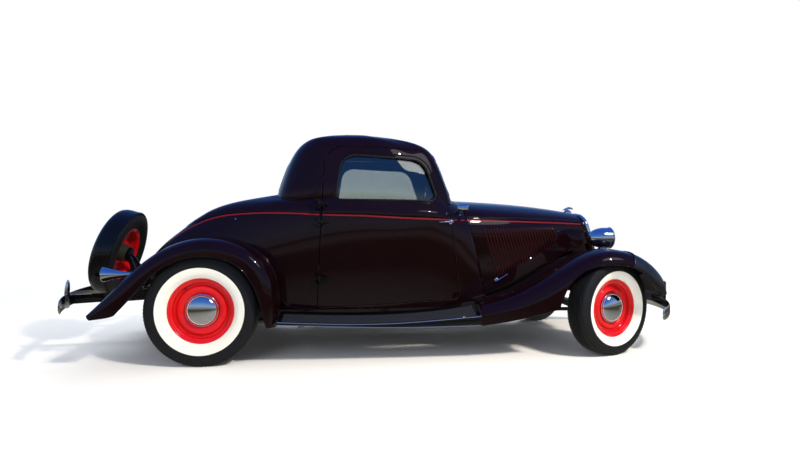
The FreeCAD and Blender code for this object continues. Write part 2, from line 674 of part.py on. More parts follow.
def frame():
    """Two boxed rails with their cross members and the bearers of the running boards."""
    rail = side_prism(RAIL_OUTLINE, RAIL_IN, RAIL_OUT)
    pieces = pair(rail)
    for x0, x1, z0, z1 in CROSS_MEMBERS:
        pieces.append(box(x0, x1, -RAIL_IN - 10.0, RAIL_IN + 10.0, z0, z1))
    for x, z in BEARERS:
        pieces += pair(box(x - 20.0, x + 20.0, RAIL_OUT - 10.0, 800.0, z - 30.0, z))
    chassis = fused(pieces)
    for side in (-1, 1):
        y = side * HITCH_SPACING / 2
        chassis = chassis.cut(rod(V(-2100.0, y, HITCH_Z), V(-1980.0, y, HITCH_Z), HITCH_HOLE))
    return chassis


def floor_pan():
    """Heel board, floor of the luggage room and the liners of the wheel houses."""
    heel = box(-972.0, -960.0, -LINER_Y - LINER_SHEET, LINER_Y + LINER_SHEET, SILL_Z + FLOOR_THICKNESS,
               TRUNK_FLOOR_Z + TRUNK_SHEET)
    floor = box(-1790.0, -960.0, -LINER_Y, LINER_Y, TRUNK_FLOOR_Z, TRUNK_FLOOR_Z + TRUNK_SHEET)
    radius = REAR_WHEEL["tyre"] + 50.0
    centre = V(REAR_X, LINER_Y, REAR_WHEEL["tyre"])
    liner = Part.makeCylinder(radius, 200.0, centre, Y_AXIS)
    liner = liner.cut(Part.makeCylinder(radius - LINER_SHEET, 220.0, centre + V(0, LINER_SHEET, 0), Y_AXIS))
    liner = liner.cut(box(-2400.0, -500.0, 0.0, 900.0, -200.0, SILL_Z + 60.0))
    room = lower_form(WALL, ROOF_WALL, SILL_Z + FLOOR_THICKNESS)
    clear_room = lower_form(WALL + FLOOR_MARGIN, ROOF_WALL, SILL_Z + FLOOR_THICKNESS)
    return fused([heel.common(room), floor.common(clear_room)] + [piece.common(room) for piece in pair(liner)])


def engine():
    """Engine and gearbox as one plain block each, joined."""
    e = ENGINE
    block = box(e["x0"], e["x1"], -e["half"], e["half"], e["z0"], e["z1"])
    gearbox = box(250.0, e["x0"] + 10.0, -95.0, 95.0, 262.0, 338.0)
    housing = box(606.0, e["x0"] + 10.0, -150.0, 150.0, 262.0, 540.0)
    return fused([block, housing, gearbox])


def radiator():
    """Radiator core on the front cross member."""
    return box(1384.0, 1424.0, -192.0, 192.0, 520.0, 960.0)


def fuel_tank():
    """Tank under the luggage room's floor, behind the axle."""
    top = TRUNK_FLOOR_Z - 0.3
    corners = [(-1830.0, 450.0, 40.0), (-1830.0, top, 30.0), (-1700.0, top, 30.0), (-1700.0, 450.0, 40.0)]
    return side_prism(corners, -300.0, 300.0)


BEAM_OUTLINE = [(-572.0, 312.0, 0.0), (-500.0, 300.0, 60.0), (-400.0, 258.0, 80.0), (400.0, 258.0, 80.0),
                (500.0, 300.0, 60.0), (572.0, 312.0, 0.0), (572.0, 372.0, 0.0), (500.0, 350.0, 60.0),
                (400.0, 310.0, 80.0), (-400.0, 310.0, 80.0), (-500.0, 350.0, 60.0), (-572.0, 372.0, 0.0)]
BEAM_HALF = 25.0
PERCH_Y = 430.0
KINGPIN_RADIUS = 10.0
BOSS_RADIUS = 24.0
LUG_RADIUS = 26.0
ARM_BACK = -140.0
ARM_DROP = -47.0
EYE_RISE = 16.0
BALL_RADIUS = 9.0


def front_axle():
    """Forged beam with a boss at each kingpin, and the wishbone that holds it."""
    z = FRONT_WHEEL["tyre"]
    beam = front_prism(BEAM_OUTLINE, FRONT_X - BEAM_HALF, FRONT_X + BEAM_HALF)
    pieces = [beam]
    for side in (-1, 1):
        top = V(FRONT_X, side * KINGPIN_Y, z + 36.0)
        pieces.append(rod(top - V(0, 0, 72.0), top, BOSS_RADIUS))
        pieces.append(rod(V(FRONT_X, side * PERCH_Y, 290.0), V(FRONT_X, side * PERCH_Y, 357.2), 16.0))
        pieces.append(rod(V(FRONT_X - 10.0, side * 400.0, 284.0), V(690.0, 0, 224.0), 15.0))
    pieces.append(Part.makeSphere(26.0, V(690.0, 0, 224.0)))
    axle = fused(pieces)
    for side in (-1, 1):
        foot = V(FRONT_X, side * KINGPIN_Y, z - 50.0)
        axle = axle.cut(rod(foot, foot + V(0, 0, 100.0), KINGPIN_RADIUS + PIN_GAP))
    return axle


def leaf_spring(x, half_y, z_end, z_mid, thickness, width):
    """Transverse leaf spring as one bow."""
    low = [V(x, -half_y, z_end), V(x, 0, z_mid), V(x, half_y, z_end)]
    high = [p + V(0, 0, thickness) for p in low]
    edges = [Part.Arc(*low).toShape(), Part.LineSegment(low[2], high[2]).toShape(),
             Part.Arc(high[2], high[1], high[0]).toShape(), Part.LineSegment(high[0], low[0]).toShape()]
    return Part.Face(Part.Wire(edges)).extrude(V(width, 0, 0))


def springs():
    """Front and back leaf springs."""
    front = leaf_spring(FRONT_X - 24.0, PERCH_Y + 20.0, 356.0, 439.8, 40.0, 48.0)
    rear = leaf_spring(-1594.0, 470.0, 392.0, 515.8, 44.0, 48.0)
    return [front, rear]


def knuckle():
    """Left steering knuckle, straight ahead: fork, kingpin, back plate, spindle and steering arm."""
    z = FRONT_WHEEL["tyre"]
    pin = V(FRONT_X, KINGPIN_Y, z)
    plate_y = KINGPIN_Y + 30.0
    low_lug = rod(pin + V(0, 0, -56.0), pin + V(0, 0, -38.0), LUG_RADIUS)
    high_lug = rod(pin + V(0, 0, 38.0), pin + V(0, 0, 56.0), LUG_RADIUS)
    kingpin = rod(pin + V(0, 0, -56.0), pin + V(0, 0, 56.0), KINGPIN_RADIUS)
    low_web = box(FRONT_X - 24.0, FRONT_X + 24.0, KINGPIN_Y + 5.0, plate_y + 4.0, z - 56.0, z - 38.0)
    high_web = box(FRONT_X - 24.0, FRONT_X + 24.0, KINGPIN_Y + 5.0, plate_y + 4.0, z + 38.0, z + 56.0)
    plate = rod(V(FRONT_X, plate_y, z), V(FRONT_X, plate_y + 6.0, z), 146.0)
    spindle = rod(V(FRONT_X, plate_y, z), V(FRONT_X, FRONT_TRACK / 2 + 9.0, z), HUB_BORE - PIN_GAP)
    ball = pin + V(ARM_BACK, 0, ARM_DROP)
    arm = rod(pin + V(-14.0, 0, ARM_DROP), ball, 7.0)
    stud = rod(ball - V(0, 0, 12.0), ball + V(0, 0, EYE_RISE + 12.0), BALL_RADIUS)
    return fused([low_lug, high_lug, kingpin, low_web, high_web, plate, spindle, arm, stud])


def steered(shape, side):
    """A piece of the front wheel's side, turned about its kingpin as the car stands."""
    if side < 0:
        shape = mirrored(shape)
    turned = shape.copy()
    turned.rotate(V(FRONT_X, side * KINGPIN_Y, 0), Z_AXIS, STEER_AT_REST)
    return turned


def ball_place(side):
    """Centre of the tie rod's eye on one side, as the car stands."""
    angle = math.radians(STEER_AT_REST)
    z = FRONT_WHEEL["tyre"] + ARM_DROP + EYE_RISE
    return V(FRONT_X + ARM_BACK * math.cos(angle), side * KINGPIN_Y + ARM_BACK * math.sin(angle), z)


def tie_rod():
    """Tie rod between the two steering arms, with an eye at each end."""
    left = ball_place(1)
    right = ball_place(-1)
    bar = rod(left, right, 7.0)
    eyes = [rod(p + V(0, 0, -7.0), p + V(0, 0, 7.0), 17.0) for p in (left, right)]
    piece = fused([bar] + eyes)
    for p in (left, right):
        piece = piece.cut(rod(p + V(0, 0, -20.0), p + V(0, 0, 20.0), BALL_RADIUS + PIN_GAP))
    return piece


def rear_axle():
    """Banjo axle with its brake plates, spindles, torque tube and spring perches."""
    z = REAR_WHEEL["tyre"]
    plate_y = REAR_TRACK / 2 - 75.0
    profile = [(-plate_y, 0), (-plate_y, 42.0), (-170.0, 46.0), (-95.0, 118.0), (-45.0, 136.0), (45.0, 136.0),
               (95.0, 118.0), (170.0, 46.0), (plate_y, 42.0), (plate_y, 0)]
    housing = turned_y(profile, V(REAR_X, 0, z))
    tube = rod(V(REAR_X + 100.0, 0, z - 60.0), V(240.0, 0, 290.0), 26.0)
    pieces = [housing, tube]
    for side in (-1, 1):
        start = V(REAR_X, side * (plate_y - 6.0), z)
        pieces.append(rod(start, V(REAR_X, side * plate_y, z), 146.0))
        end = V(REAR_X, side * (REAR_TRACK / 2 + 9.0), z)
        pieces.append(rod(start, end, HUB_BORE - PIN_GAP))
        pieces.append(rod(V(REAR_X, side * 440.0, z), V(-1572.0, side * 440.0, 371.0), 18.0))
        pieces.append(rod(V(-1570.0, side * 440.0, 372.0), V(-1570.0, side * 440.0, 396.0), 18.0))
    return fused(pieces).cut(box(250.0, 300.0, -60.0, 60.0, 200.0, 400.0))


def wheel_profile(w):
    """Section of a steel wheel with its drum: distance outboard of the centre plane, radius."""
    f, rf, rb = w["out"], w["flange"], w["bead"]
    drum = min(DRUM_RADIUS, rb - 40.0)
    return [
        (-64.0, HUB_BORE), (12.0, HUB_BORE), (12.0, 98.0), (24.0, CAP_RADIUS), (30.0, max(rb - 81.0, 118.0)),
        (38.0, rb - 63.0), (36.0, rb - 45.0), (22.0, rb - 31.0), (20.0, rb - 16.0), (f - 16.0, rb - 12.0),
        (f - 8.0, rf - 12.0), (f, rf - 4.0), (f, rf), (f - 5.0, rf), (f - 9.0, rb), (-f + 9.0, rb),
        (-f + 5.0, rf), (-f, rf), (-f, rf - 6.0), (-f + 12.0, rb - 8.0), (12.0, rb - 9.0), (14.0, rb - 24.0),
        (16.0, rb - 33.0), (30.0, rb - 47.0), (32.0, rb - 62.0), (24.0, max(rb - 77.0, 121.0)), (14.0, 119.0),
        (4.0, 119.0), (4.0, drum), (-56.0, drum), (-56.0, drum - 10.0), (-6.0, drum - 10.0), (-6.0, 60.0),
        (-64.0, 60.0),
    ]


def tyre_profile(w):
    """Section of a tyre as one closed ring."""
    f, rf, rb, big, half = w["out"], w["flange"], w["bead"], w["tyre"], w["half"]
    side = [
        (f - 9.0, rb), (f - 5.0, rf), (half - 12.0, rf + 0.22 * (big - rf)), (half, rf + 0.52 * (big - rf)),
        (half - 5.0, rf + 0.78 * (big - rf)), (0.78 * half, big - 6.0), (0.62 * half, big),
    ]
    return side + [(-out, radius) for out, radius in reversed(side)]


def cap_profile():
    """Section of a hub cap: a dome on an edge ring."""
    points = [(12.0, 0.0), (12.0, 97.0), (22.0, 109.0), (CAP_OUT, CAP_RADIUS), (CAP_OUT + 5.0, CAP_RADIUS - 3.0),
              (CAP_OUT + 4.0, CAP_RADIUS - 9.0)]
    steps = 6
    for i in range(1, steps + 1):
        angle = math.pi / 2 * i / steps
        points.append((CAP_OUT + 4.0 + (CAP_RISE - 4.0) * math.sin(angle), (CAP_RADIUS - 12.0) * math.cos(angle)))
    return points


def wheel_parts(w, centre):
    """Tyre, wheel and cap of the left side, straight ahead."""
    return {
        "tyre": turned_y(tyre_profile(w), centre),
        "wheel": turned_y(wheel_profile(w), centre),
        "cap": turned_y(cap_profile(), centre),
    }


def save_wheels():
    """Every road wheel, the front ones turned."""
    front = wheel_parts(FRONT_WHEEL, V(FRONT_X, FRONT_TRACK / 2, FRONT_WHEEL["tyre"]))
    rear = wheel_parts(REAR_WHEEL, V(REAR_X, REAR_TRACK / 2, REAR_WHEEL["tyre"]))
    for side, word in ((1, "left"), (-1, "right")):
        for kind, shape in front.items():
            save("%s_front_%s" % (kind, word), [steered(shape, side)])
        for kind, shape in rear.items():
            save("%s_rear_%s" % (kind, word), [shape if side > 0 else mirrored(shape)])
        save("knuckle_%s" % word, [steered(knuckle(), side)])


# Grille: its front view in its own raked plane, y, distance up from the top corner, corner radius
GRILLE_OUTLINE = [(-230.0, -52.0, 90.0), (-150.0, -4.0, 160.0), (0.0, 13.0, 600.0), (150.0, -4.0, 160.0),
                  (230.0, -52.0, 90.0), (246.0, -240.0, 500.0), (116.0, -640.0, 60.0), (-116.0, -640.0, 60.0),
                  (-246.0, -240.0, 500.0)]
GRILLE_DEPTH = 52.0
GRILLE_RIM = 24.0
GRILLE_BASE_Z = 462.0
BAR_PITCH = 15.0
BAR_WIDTH = 5.0


def raked(shape):
    """A piece drawn upright, laid back into the grille's plane."""
    angle = math.degrees(math.atan(NOSE_RAKE))
    shape.rotate(V(0, 0, 0), Y_AXIS, -angle)
    shape.translate(V(nose_x(NOSE_Z, RUN_GAP) + GRILLE_DEPTH, 0, NOSE_Z - 8.0))
    return shape.cut(box(1200.0, 1900.0, -300.0, 300.0, 300.0, GRILLE_BASE_Z))


def grille_shell():
    """Rim of the grille."""
    rim = front_prism(GRILLE_OUTLINE, -GRILLE_DEPTH, 0.0)
    rim = rim.cut(front_prism(grown(GRILLE_OUTLINE, -GRILLE_RIM), -GRILLE_DEPTH - 10.0, 10.0))
    return raked(rim)


def grille_bars():
    """Upright bars of the grille on two cross bars."""
    hole = front_prism(grown(GRILLE_OUTLINE, -GRILLE_RIM), -34.0, -8.0)
    count = int(2 * 215.0 / BAR_PITCH)
    pieces = []
    for i in range(-(count // 2), count // 2 + 1):
        y = i * BAR_PITCH
        pieces.append(box(-26.0, -8.0, y - BAR_WIDTH / 2, y + BAR_WIDTH / 2, -660.0, 20.0))
    for z in (-160.0, -330.0, -500.0):
        pieces.append(box(-34.0, -24.0, -300.0, 300.0, z - 5.0, z + 5.0))
    return raked(fused(pieces).common(hole))


# Lamps
HEADLAMP_Y = 430.0
HEADLAMP_Z = 841.0
HEADLAMP_BACK_X = 1425.0
HEADLAMP_FRONT_X = 1632.0
HEADLAMP_RADIUS = 80.0


def bullet(back_x, front_x, radius, y, z):
    """Lamp shell with a pointed back, turned about its own axis."""
    length = front_x - back_x
    steps = 7
    profile = [(0.0, 0.0)]
    for i in range(1, steps + 1):
        share = i / steps
        profile.append((length * 0.72 * share, radius * math.sqrt(share * (2.0 - share))))
    profile += [(length * 0.93, radius), (length * 0.95, radius + 4.0), (length, radius + 4.0), (length, 0.0)]
    return turned_x(profile, V(back_x, y, z))


def headlamp(fender):
    """Left headlamp on its stand."""
    lamp = bullet(HEADLAMP_BACK_X, HEADLAMP_FRONT_X, HEADLAMP_RADIUS, HEADLAMP_Y, HEADLAMP_Z)
    stand = rod(V(1545.0, HEADLAMP_Y, 700.0), V(1545.0, HEADLAMP_Y, HEADLAMP_Z - 40.0), 20.0)
    return fused([lamp, stand]).cut(fender).Solids[0]


def lens(front_x, radius, rise, y, z):
    """Domed glass on the front of a lamp."""
    steps = 5
    profile = [(0.0, 0.0), (0.0, radius)]
    for i in range(1, steps + 1):
        angle = math.pi / 2 * i / steps
        profile.append((4.0 + rise * math.sin(angle), radius * math.cos(angle)))
    return turned_x(profile, V(front_x, y, z))


def cowl_lamp(body):
    """Left cowl lamp on its foot."""
    x0, x1, z, y = 349.0, 432.0, 1074.0, 600.0
    lamp = bullet(x0, x1, 26.0, y, z)
    foot = rod(V(386.0, y, z), V(386.0, 470.0, z - 42.0), 11.0)
    return max(fused([lamp, foot]).cut(body).Solids, key=lambda s: s.Volume)


def tail_lamp(fender):
    """Left tail lamp, its pointed end forward, on an arm from the fender."""
    x_back, x_front, y, z = -2114.0, -1962.0, 660.0, 612.0
    lamp = bullet(-x_front, -x_back, 36.0, -y, z)
    lamp.rotate(V(0, 0, 0), Z_AXIS, 180.0)
    arm = rod(V(-2040.0, y, z - 20.0), V(-2000.0, y + 20.0, 440.0), 11.0)
    return max(fused([lamp, arm]).cut(fender).Solids, key=lambda s: s.Volume)


def tail_lens():
    """Red glass at the back of the left tail lamp."""
    glass = lens(2114.0, 33.0, 12.0, -660.0, 612.0)
    glass.rotate(V(0, 0, 0), Z_AXIS, 180.0)
    return glass


# Bumpers: x of the face in the middle, radius of the bow, half width, z of the bottom and top.
# The plate stands ahead of the front bar.
PLATE_AHEAD = 53.0
FRONT_BUMPER = dict(x=FRONT_REACH - PLATE_AHEAD, bow=1050.0, half=770.0, z0=244.0, z1=336.0)
REAR_BUMPER = dict(x=-REAR_REACH, bow=1950.0, half=800.0, z0=360.0, z1=456.0)
BUMPER_SHEET = 12.0


def bowed_bar(b, forward):
    """Bumper bar bowed along the arc of its plan, swelling at its middle height."""
    def across(radius):
        y = b["half"]
        return b["x"] - forward * (b["bow"] - math.sqrt(radius ** 2 - y ** 2))

    face = [V(across(b["bow"]), -b["half"], 0), V(b["x"], 0, 0), V(across(b["bow"]), b["half"], 0)]
    back = [p - V(forward * BUMPER_SHEET, 0, 0) for p in face]
    edges = [Part.Arc(*face).toShape(), Part.LineSegment(face[2], back[2]).toShape(),
             Part.Arc(back[2], back[1], back[0]).toShape(), Part.LineSegment(back[0], face[0]).toShape()]
    bar = Part.Face(Part.Wire(edges)).extrude(V(0, 0, b["z1"] - b["z0"]))
    bar.translate(V(0, 0, b["z0"]))
    return bar


def bumper_back_x(b, forward, y):
    """X of the back of a bumper bar at this distance from the middle."""
    drop = b["bow"] - math.sqrt(b["bow"] ** 2 - y ** 2)
    return b["x"] - forward * (drop + BUMPER_SHEET)


def front_bumper():
    """Front bar."""
    return bowed_bar(FRONT_BUMPER, 1.0)


GUARD_Y = 440.0


def rear_bumper():
    """Back bar with its two upright guards."""
    bar = bowed_bar(REAR_BUMPER, -1.0)
    x = bumper_back_x(REAR_BUMPER, -1.0, GUARD_Y)
    corners = [(x - 20.0, 352.0, 6.0), (x - 24.0, 470.0, 20.0), (x + 3.0, 556.0, 3.0), (x + 12.0, 552.0, 3.0),
               (x + 16.0, 450.0, 10.0), (x + 16.0, 352.0, 6.0)]
    guard = side_prism(corners, GUARD_Y - 18.0, GUARD_Y + 18.0)
    return fused([bar] + pair(guard))


def bumper_arms():
    """Arms from the ends of the rails to both bars."""
    y0, y1 = RAIL_IN + 12.0, RAIL_OUT - 12.0
    front_x = bumper_back_x(FRONT_BUMPER, 1.0, RAIL_IN)
    front = side_prism([(1960.0, 396.0, 0), (front_x + 20.0, 322.0, 0), (front_x + 20.0, 262.0, 0),
                        (1960.0, 346.0, 0)], y0, y1)
    rear_x = bumper_back_x(REAR_BUMPER, -1.0, RAIL_IN)
    rear = side_prism([(-2060.0, 456.0, 0), (-2060.0, 398.0, 0), (rear_x - 20.0, 374.0, 0),
                       (rear_x - 20.0, 440.0, 0)], y0, y1)
    arms = []
    for arm, bumper, forward in ((front, FRONT_BUMPER, 1.0), (rear, REAR_BUMPER, -1.0)):
        arm = arm.cut(bowed_bar(dict(bumper, z0=0.0, z1=800.0), forward))
        arms += pair(max(arm.Solids, key=lambda s: s.Volume))
    return arms


PLATE_HALF = 152.0
PLATE_SPACING = 178.0
PLATE_HOLE = 3.3


def front_plate():
    """Blank number plate on a bracket over the front bar."""
    plate = box(FRONT_REACH - 8.0, FRONT_REACH - 4.0, -PLATE_HALF, PLATE_HALF, 300.0, 460.0)
    frame_piece = box(FRONT_REACH - 8.0, FRONT_REACH, -PLATE_HALF, PLATE_HALF, 292.0, 462.0)
    frame_piece = frame_piece.cut(box(FRONT_REACH - 4.0, FRONT_REACH + 4.0, -PLATE_HALF + 6.0, PLATE_HALF - 6.0, 300.0,
                                      454.0))
    bracket = box(FRONT_BUMPER["x"], FRONT_REACH - 8.0, -60.0, 60.0, 300.0, 330.0)
    piece = fused([plate, frame_piece, bracket])
    for side in (-1, 1):
        y = side * PLATE_SPACING / 2
        piece = piece.cut(rod(V(FRONT_REACH - 20.0, y, 435.0), V(FRONT_REACH + 10.0, y, 435.0), PLATE_HOLE))
    return piece


# Spare wheel: centre, lean of its top towards the front
SPARE = dict(x=-2242.0, z=728.0, lean=17.4, radius=333.0, half=82.0)
SPARE_COVER_SHEET = 6.0


def leaned(shape):
    """A piece of the spare, drawn about the Y axis at the origin, brought to its place on the tail."""
    shape.rotate(V(0, 0, 0), Z_AXIS, 90.0)
    shape.rotate(V(0, 0, 0), Y_AXIS, SPARE["lean"])
    shape.translate(V(SPARE["x"], 0, SPARE["z"]))
    return shape


def spare_wheel():
    """Steel wheel of the spare, its outer face to the back."""
    w = FRONT_WHEEL
    profile = [(out, radius) for out, radius in wheel_profile(w)]
    return leaned(turned_y(profile, V(0, 0, 0)))


def spare_tyre():
    """Tyre of the spare."""
    w = dict(FRONT_WHEEL, tyre=SPARE["radius"], half=SPARE["half"])
    return leaned(turned_y(tyre_profile(w), V(0, 0, 0)))


def spare_cover():
    """Painted metal cover: a band round the tread and a disc over the back face."""
    big = SPARE["radius"] + 4.0 + SPARE_COVER_SHEET
    out = SPARE["half"] + 8.0
    t = SPARE_COVER_SHEET
    profile = [
        (-out * 0.7, big - t), (-out * 0.7, big), (out * 0.55, big), (out * 0.95, big - 22.0), (out + t, big - 60.0),
        (out + t, 230.0), (out - 6.0, 205.0), (out - 14.0, 0.0), (out - 14.0 - t, 0.0), (out - 6.0 - t, 207.0),
        (out, 234.0), (out, big - 62.0), (out * 0.95 - t, big - 24.0), (out * 0.55, big - t),
    ]
    return leaned(turned_y(profile, V(0, 0, 0)))


def spare_carrier(wheel, chassis):
    """Bracket from the back cross member up to the spare's hub."""
    lean = math.radians(SPARE["lean"])
    hub = V(SPARE["x"] + 64.0 * math.cos(lean), 0, SPARE["z"] - 64.0 * math.sin(lean))
    plate = rod(hub, hub + V(24.0 * math.cos(lean), 0, -24.0 * math.sin(lean)), 58.0)
    legs = [rod(hub + V(24.0, y, -20.0), V(-2040.0, y * 3.5, 448.0), 17.0) for y in (-36.0, 36.0)]
    foot = box(-2055.0, -2015.0, -150.0, 150.0, 450.0, 462.0)
    return max(fused([plate, foot] + legs).cut(wheel).cut(chassis).Solids, key=lambda s: s.Volume)


# Cabin
def seat_cushion():
    """Seat cushion, plain and closed."""
    corners = [(-830.0, SILL_Z + FLOOR_THICKNESS, 10.0), (-830.0, 560.0, 30.0), (-320.0, 600.0, 60.0),
               (-330.0, SILL_Z + FLOOR_THICKNESS, 10.0)]
    return side_prism(corners, -520.0, 520.0)


def seat_back():
    """Seat back, plain and closed."""
    corners = [(-830.2, 561.0, 5.0), (-915.0, 1040.0, 60.0), (-790.0, 1060.0, 60.0), (-690.0, 572.0, 5.0)]
    return side_prism(corners, -490.0, 490.0)


def dashboard(inner):
    """Instrument panel across the cowl."""
    corners = [(290.0, 890.0, 20.0), (270.0, 1060.0, 30.0), (420.0, 1100.0, 0), (470.0, 900.0, 0)]
    return side_prism(corners, -700.0, 700.0).common(inner)


def steering_column(inner):
    """Column, wheel rim, spokes and hub in front of the left seat."""
    foot = V(470.0, 330.0, 470.0)
    hub = V(-40.0, 330.0, 860.0)
    axis = (foot - hub).normalize()
    column = rod(foot, hub, 17.0).common(inner)
    rim = Part.makeTorus(200.0, 11.0, hub, axis)
    boss = rod(hub - axis * 20.0, hub + axis * 20.0, 32.0)
    across = axis.cross(Y_AXIS).normalize()
    pieces = [column, rim, boss]
    for angle in (90.0, 210.0, 330.0):
        turn = math.radians(angle)
        direction = Y_AXIS * math.cos(turn) + across * math.sin(turn)
        pieces.append(rod(hub, hub + direction * 200.0, 7.0))
    return fused(pieces)


def exhaust():
    """Two silencers with their pipes, under the floor."""
    z = 205.0
    y = 250.0
    front = rod(V(760.0, y - 50.0, 277.0), V(560.0, y, z), 24.0)
    pipe = rod(V(560.0, y, z), V(-1720.0, y, z), 24.0)
    knee = Part.makeSphere(24.0, V(560.0, y, z))
    silencer = rod(V(-100.0, y, z), V(-700.0, y, z), 62.0)
    hanger = box(-140.0, -110.0, y, RAIL_IN + 10.0, z - 10.0, z + 10.0)
    post = box(-140.0, -110.0, RAIL_IN, RAIL_IN + 20.0, z - 10.0, 235.0)
    strap = box(-1660.0, -1630.0, y - 8.0, y + 8.0, z, 575.0)
    strap_end = box(-1660.0, -1630.0, y - 8.0, RAIL_IN, 560.0, 575.0)
    return fused([front, pipe, knee, silencer, hanger, post, strap, strap_end])


def main():
    """Build and save every sub-part."""
    os.makedirs("parts", exist_ok=True)
    outer = body_outer()
    inner = body_inner()
    skin = glass_skin()
    front = front_fender(outer)
    rear = rear_fender(outer)
    door = door_panel(outer, inner)
    hood = hood_half()
    hardware = door_hardware(door)
    spare = spare_wheel()
    chassis = frame()
    save("body_shell", [body_shell(outer, inner)])
    save("floor_pan", [floor_pan()])
    save("fixed_glass", fixed_glass(skin))
    save("front_fenders", pair(front))
    save("rear_fenders", pair(rear))
    save("fender_covers", pair(fender_cover()))
    save("running_boards", pair(running_board(outer)))
    save("deck_lid", [lid_panel(outer, inner)])
    save("hinge_pins", [p for pin in hinge_pins() for p in pair(pin.cut(outer))])
    for word, turn in (("left", lambda s: s), ("right", mirrored)):
        save("hood_" + word, [turn(hood)])
        save("door_" + word, [turn(door)])
        save("door_glass_" + word, [turn(door_glass(skin))])
        save("door_hardware_" + word, [turn(piece) for piece in hardware])
    save("frame", [chassis])
    save("engine_block", [engine()])
    save("radiator", [radiator()])
    save("fuel_tank", [fuel_tank()])
    save("front_axle", [front_axle()])
    save("rear_axle", [rear_axle()])
    save("springs", springs())
    save("tie_rod", [tie_rod()])
    save_wheels()
    save("grille_shell", [grille_shell()])
    save("grille_bars", [grille_bars()])
    save("headlamps", pair(headlamp(front)))
    save("headlamp_lenses", pair(lens(HEADLAMP_FRONT_X, HEADLAMP_RADIUS - 2.0, 16.0, HEADLAMP_Y, HEADLAMP_Z)))
    save("cowl_lamps", pair(cowl_lamp(outer)))
    save("tail_lamps", pair(tail_lamp(rear)))
    save("tail_lenses", pair(tail_lens()))
    save("front_bumper", [front_bumper()])
    save("rear_bumper", [rear_bumper()])
    save("bumper_arms", bumper_arms())
    save("front_plate", [front_plate()])
    save("spare_wheel", [spare])
    save("spare_tyre", [spare_tyre()])
    save("spare_cover", [spare_cover()])
    save("spare_carrier", [spare_carrier(spare, chassis)])
    save("seat_cushion", [seat_cushion()])
    save("seat_back", [seat_back()])
    save("dashboard", [dashboard(inner)])
    save("steering_column", [steering_column(inner)])
    save("exhaust", pair(exhaust()))


if __name__ == "__main__":
    main()
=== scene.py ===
"""Looks of the three-window coupe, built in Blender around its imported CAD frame.

Every visible panel is rebuilt as a smooth surface from the same stations as the CAD part, dressed with its trim, and
tied to the CAD body that carries it. Sizes are millimetres from the middle of the wheelbase, X forward, Y to the
car's left, Z up, and become metres in the row frame when a mesh is made.
"""

import logging
import math
from dataclasses import dataclass, field
from enum import Enum
from typing import Callable, Sequence

import bmesh
import bpy
import numpy as np
from mathutils import Matrix, Vector
from mathutils.bvhtree import BVHTree


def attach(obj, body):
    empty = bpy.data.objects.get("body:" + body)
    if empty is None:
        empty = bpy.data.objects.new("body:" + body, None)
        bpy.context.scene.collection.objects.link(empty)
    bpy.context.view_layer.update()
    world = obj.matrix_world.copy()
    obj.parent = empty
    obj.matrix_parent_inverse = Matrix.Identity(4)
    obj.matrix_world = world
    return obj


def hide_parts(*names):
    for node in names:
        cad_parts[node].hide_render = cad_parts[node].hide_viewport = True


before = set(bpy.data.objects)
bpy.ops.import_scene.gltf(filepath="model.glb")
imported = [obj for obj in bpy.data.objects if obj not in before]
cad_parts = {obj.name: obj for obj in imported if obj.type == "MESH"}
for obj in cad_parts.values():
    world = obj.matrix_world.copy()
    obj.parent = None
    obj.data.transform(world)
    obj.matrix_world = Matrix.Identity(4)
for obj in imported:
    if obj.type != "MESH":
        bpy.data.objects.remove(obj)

LOG = logging.getLogger("coupe")
SEED = 7
ORIGIN_SHIFT = 125.5
# How near to a form, in metres, a corner takes its normal from it
REACH = 0.0008
WHEELBASE_HALF = 1422.5
WORDS = {1: "left", -1: "right"}
# Spacing that leaves the straight runs of an outline whole
WHOLE = 1e9
Array = np.ndarray
Thing = bpy.types.Object
Point = tuple[float, float, float]
norm = np.linalg.norm


def metres(points: Sequence) -> Array:
    """Row-frame metres of points in mid-wheelbase mm."""
    return (np.asarray(points, float) + (ORIGIN_SHIFT, 0.0, 0.0)) / 1000.0


def millimetres(points: Sequence) -> Array:
    """Mid-wheelbase mm of points in row-frame metres."""
    return np.array(points) * 1000 - (ORIGIN_SHIFT, 0, 0)


def cubic(knots: Sequence[float], values: Array, at: Sequence[float]) -> Array:
    """Natural cubic spline through rows of values.

    Args:
        knots: Rising place of each row.
        values: One row per knot, with any number of columns.
        at: Places where the curve is wanted.

    Returns:
        One row per wanted place.
    """
    t, v, q = np.asarray(knots, float), np.asarray(values, float), np.asarray(at, float)
    n = len(t)
    h = np.diff(t)
    shape = (-1,) + (1,) * (v.ndim - 1)
    slope = np.diff(v, axis=0) / h.reshape(shape)
    system = np.eye(n)
    right = np.zeros_like(v)
    for i in range(1, n - 1):
        system[i, i - 1:i + 2] = h[i - 1], 2 * (h[i - 1] + h[i]), h[i]
        right[i] = 6 * (slope[i] - slope[i - 1])
    second = np.linalg.solve(system, right.reshape(n, -1)).reshape(v.shape)
    i = np.clip(np.searchsorted(t, q, side="right") - 1, 0, n - 2)
    hi = h[i].reshape(shape)
    b = ((q - t[i]) / h[i]).reshape(shape)
    a = 1 - b
    return a * v[i] + b * v[i + 1] + ((a ** 3 - a) * second[i] + (b ** 3 - b) * second[i + 1]) * hi ** 2 / 6


def stations(rows: Sequence, count: int) -> Array:
    """Rows whose first column is their place, closer together along a smooth run."""
    rows = np.array(rows, float)
    return cubic(rows[:, 0], rows, np.linspace(rows[0, 0], rows[-1, 0], count))


def across_x(x: float, ring: Array) -> Array:
    """Ring of points Y and Z at an x."""
    return np.column_stack([np.full(len(ring), x), ring])


def across_y(y: float, ring: Array) -> Array:
    """Ring of points X and Z at a y."""
    return np.insert(ring, 1, y, axis=1)


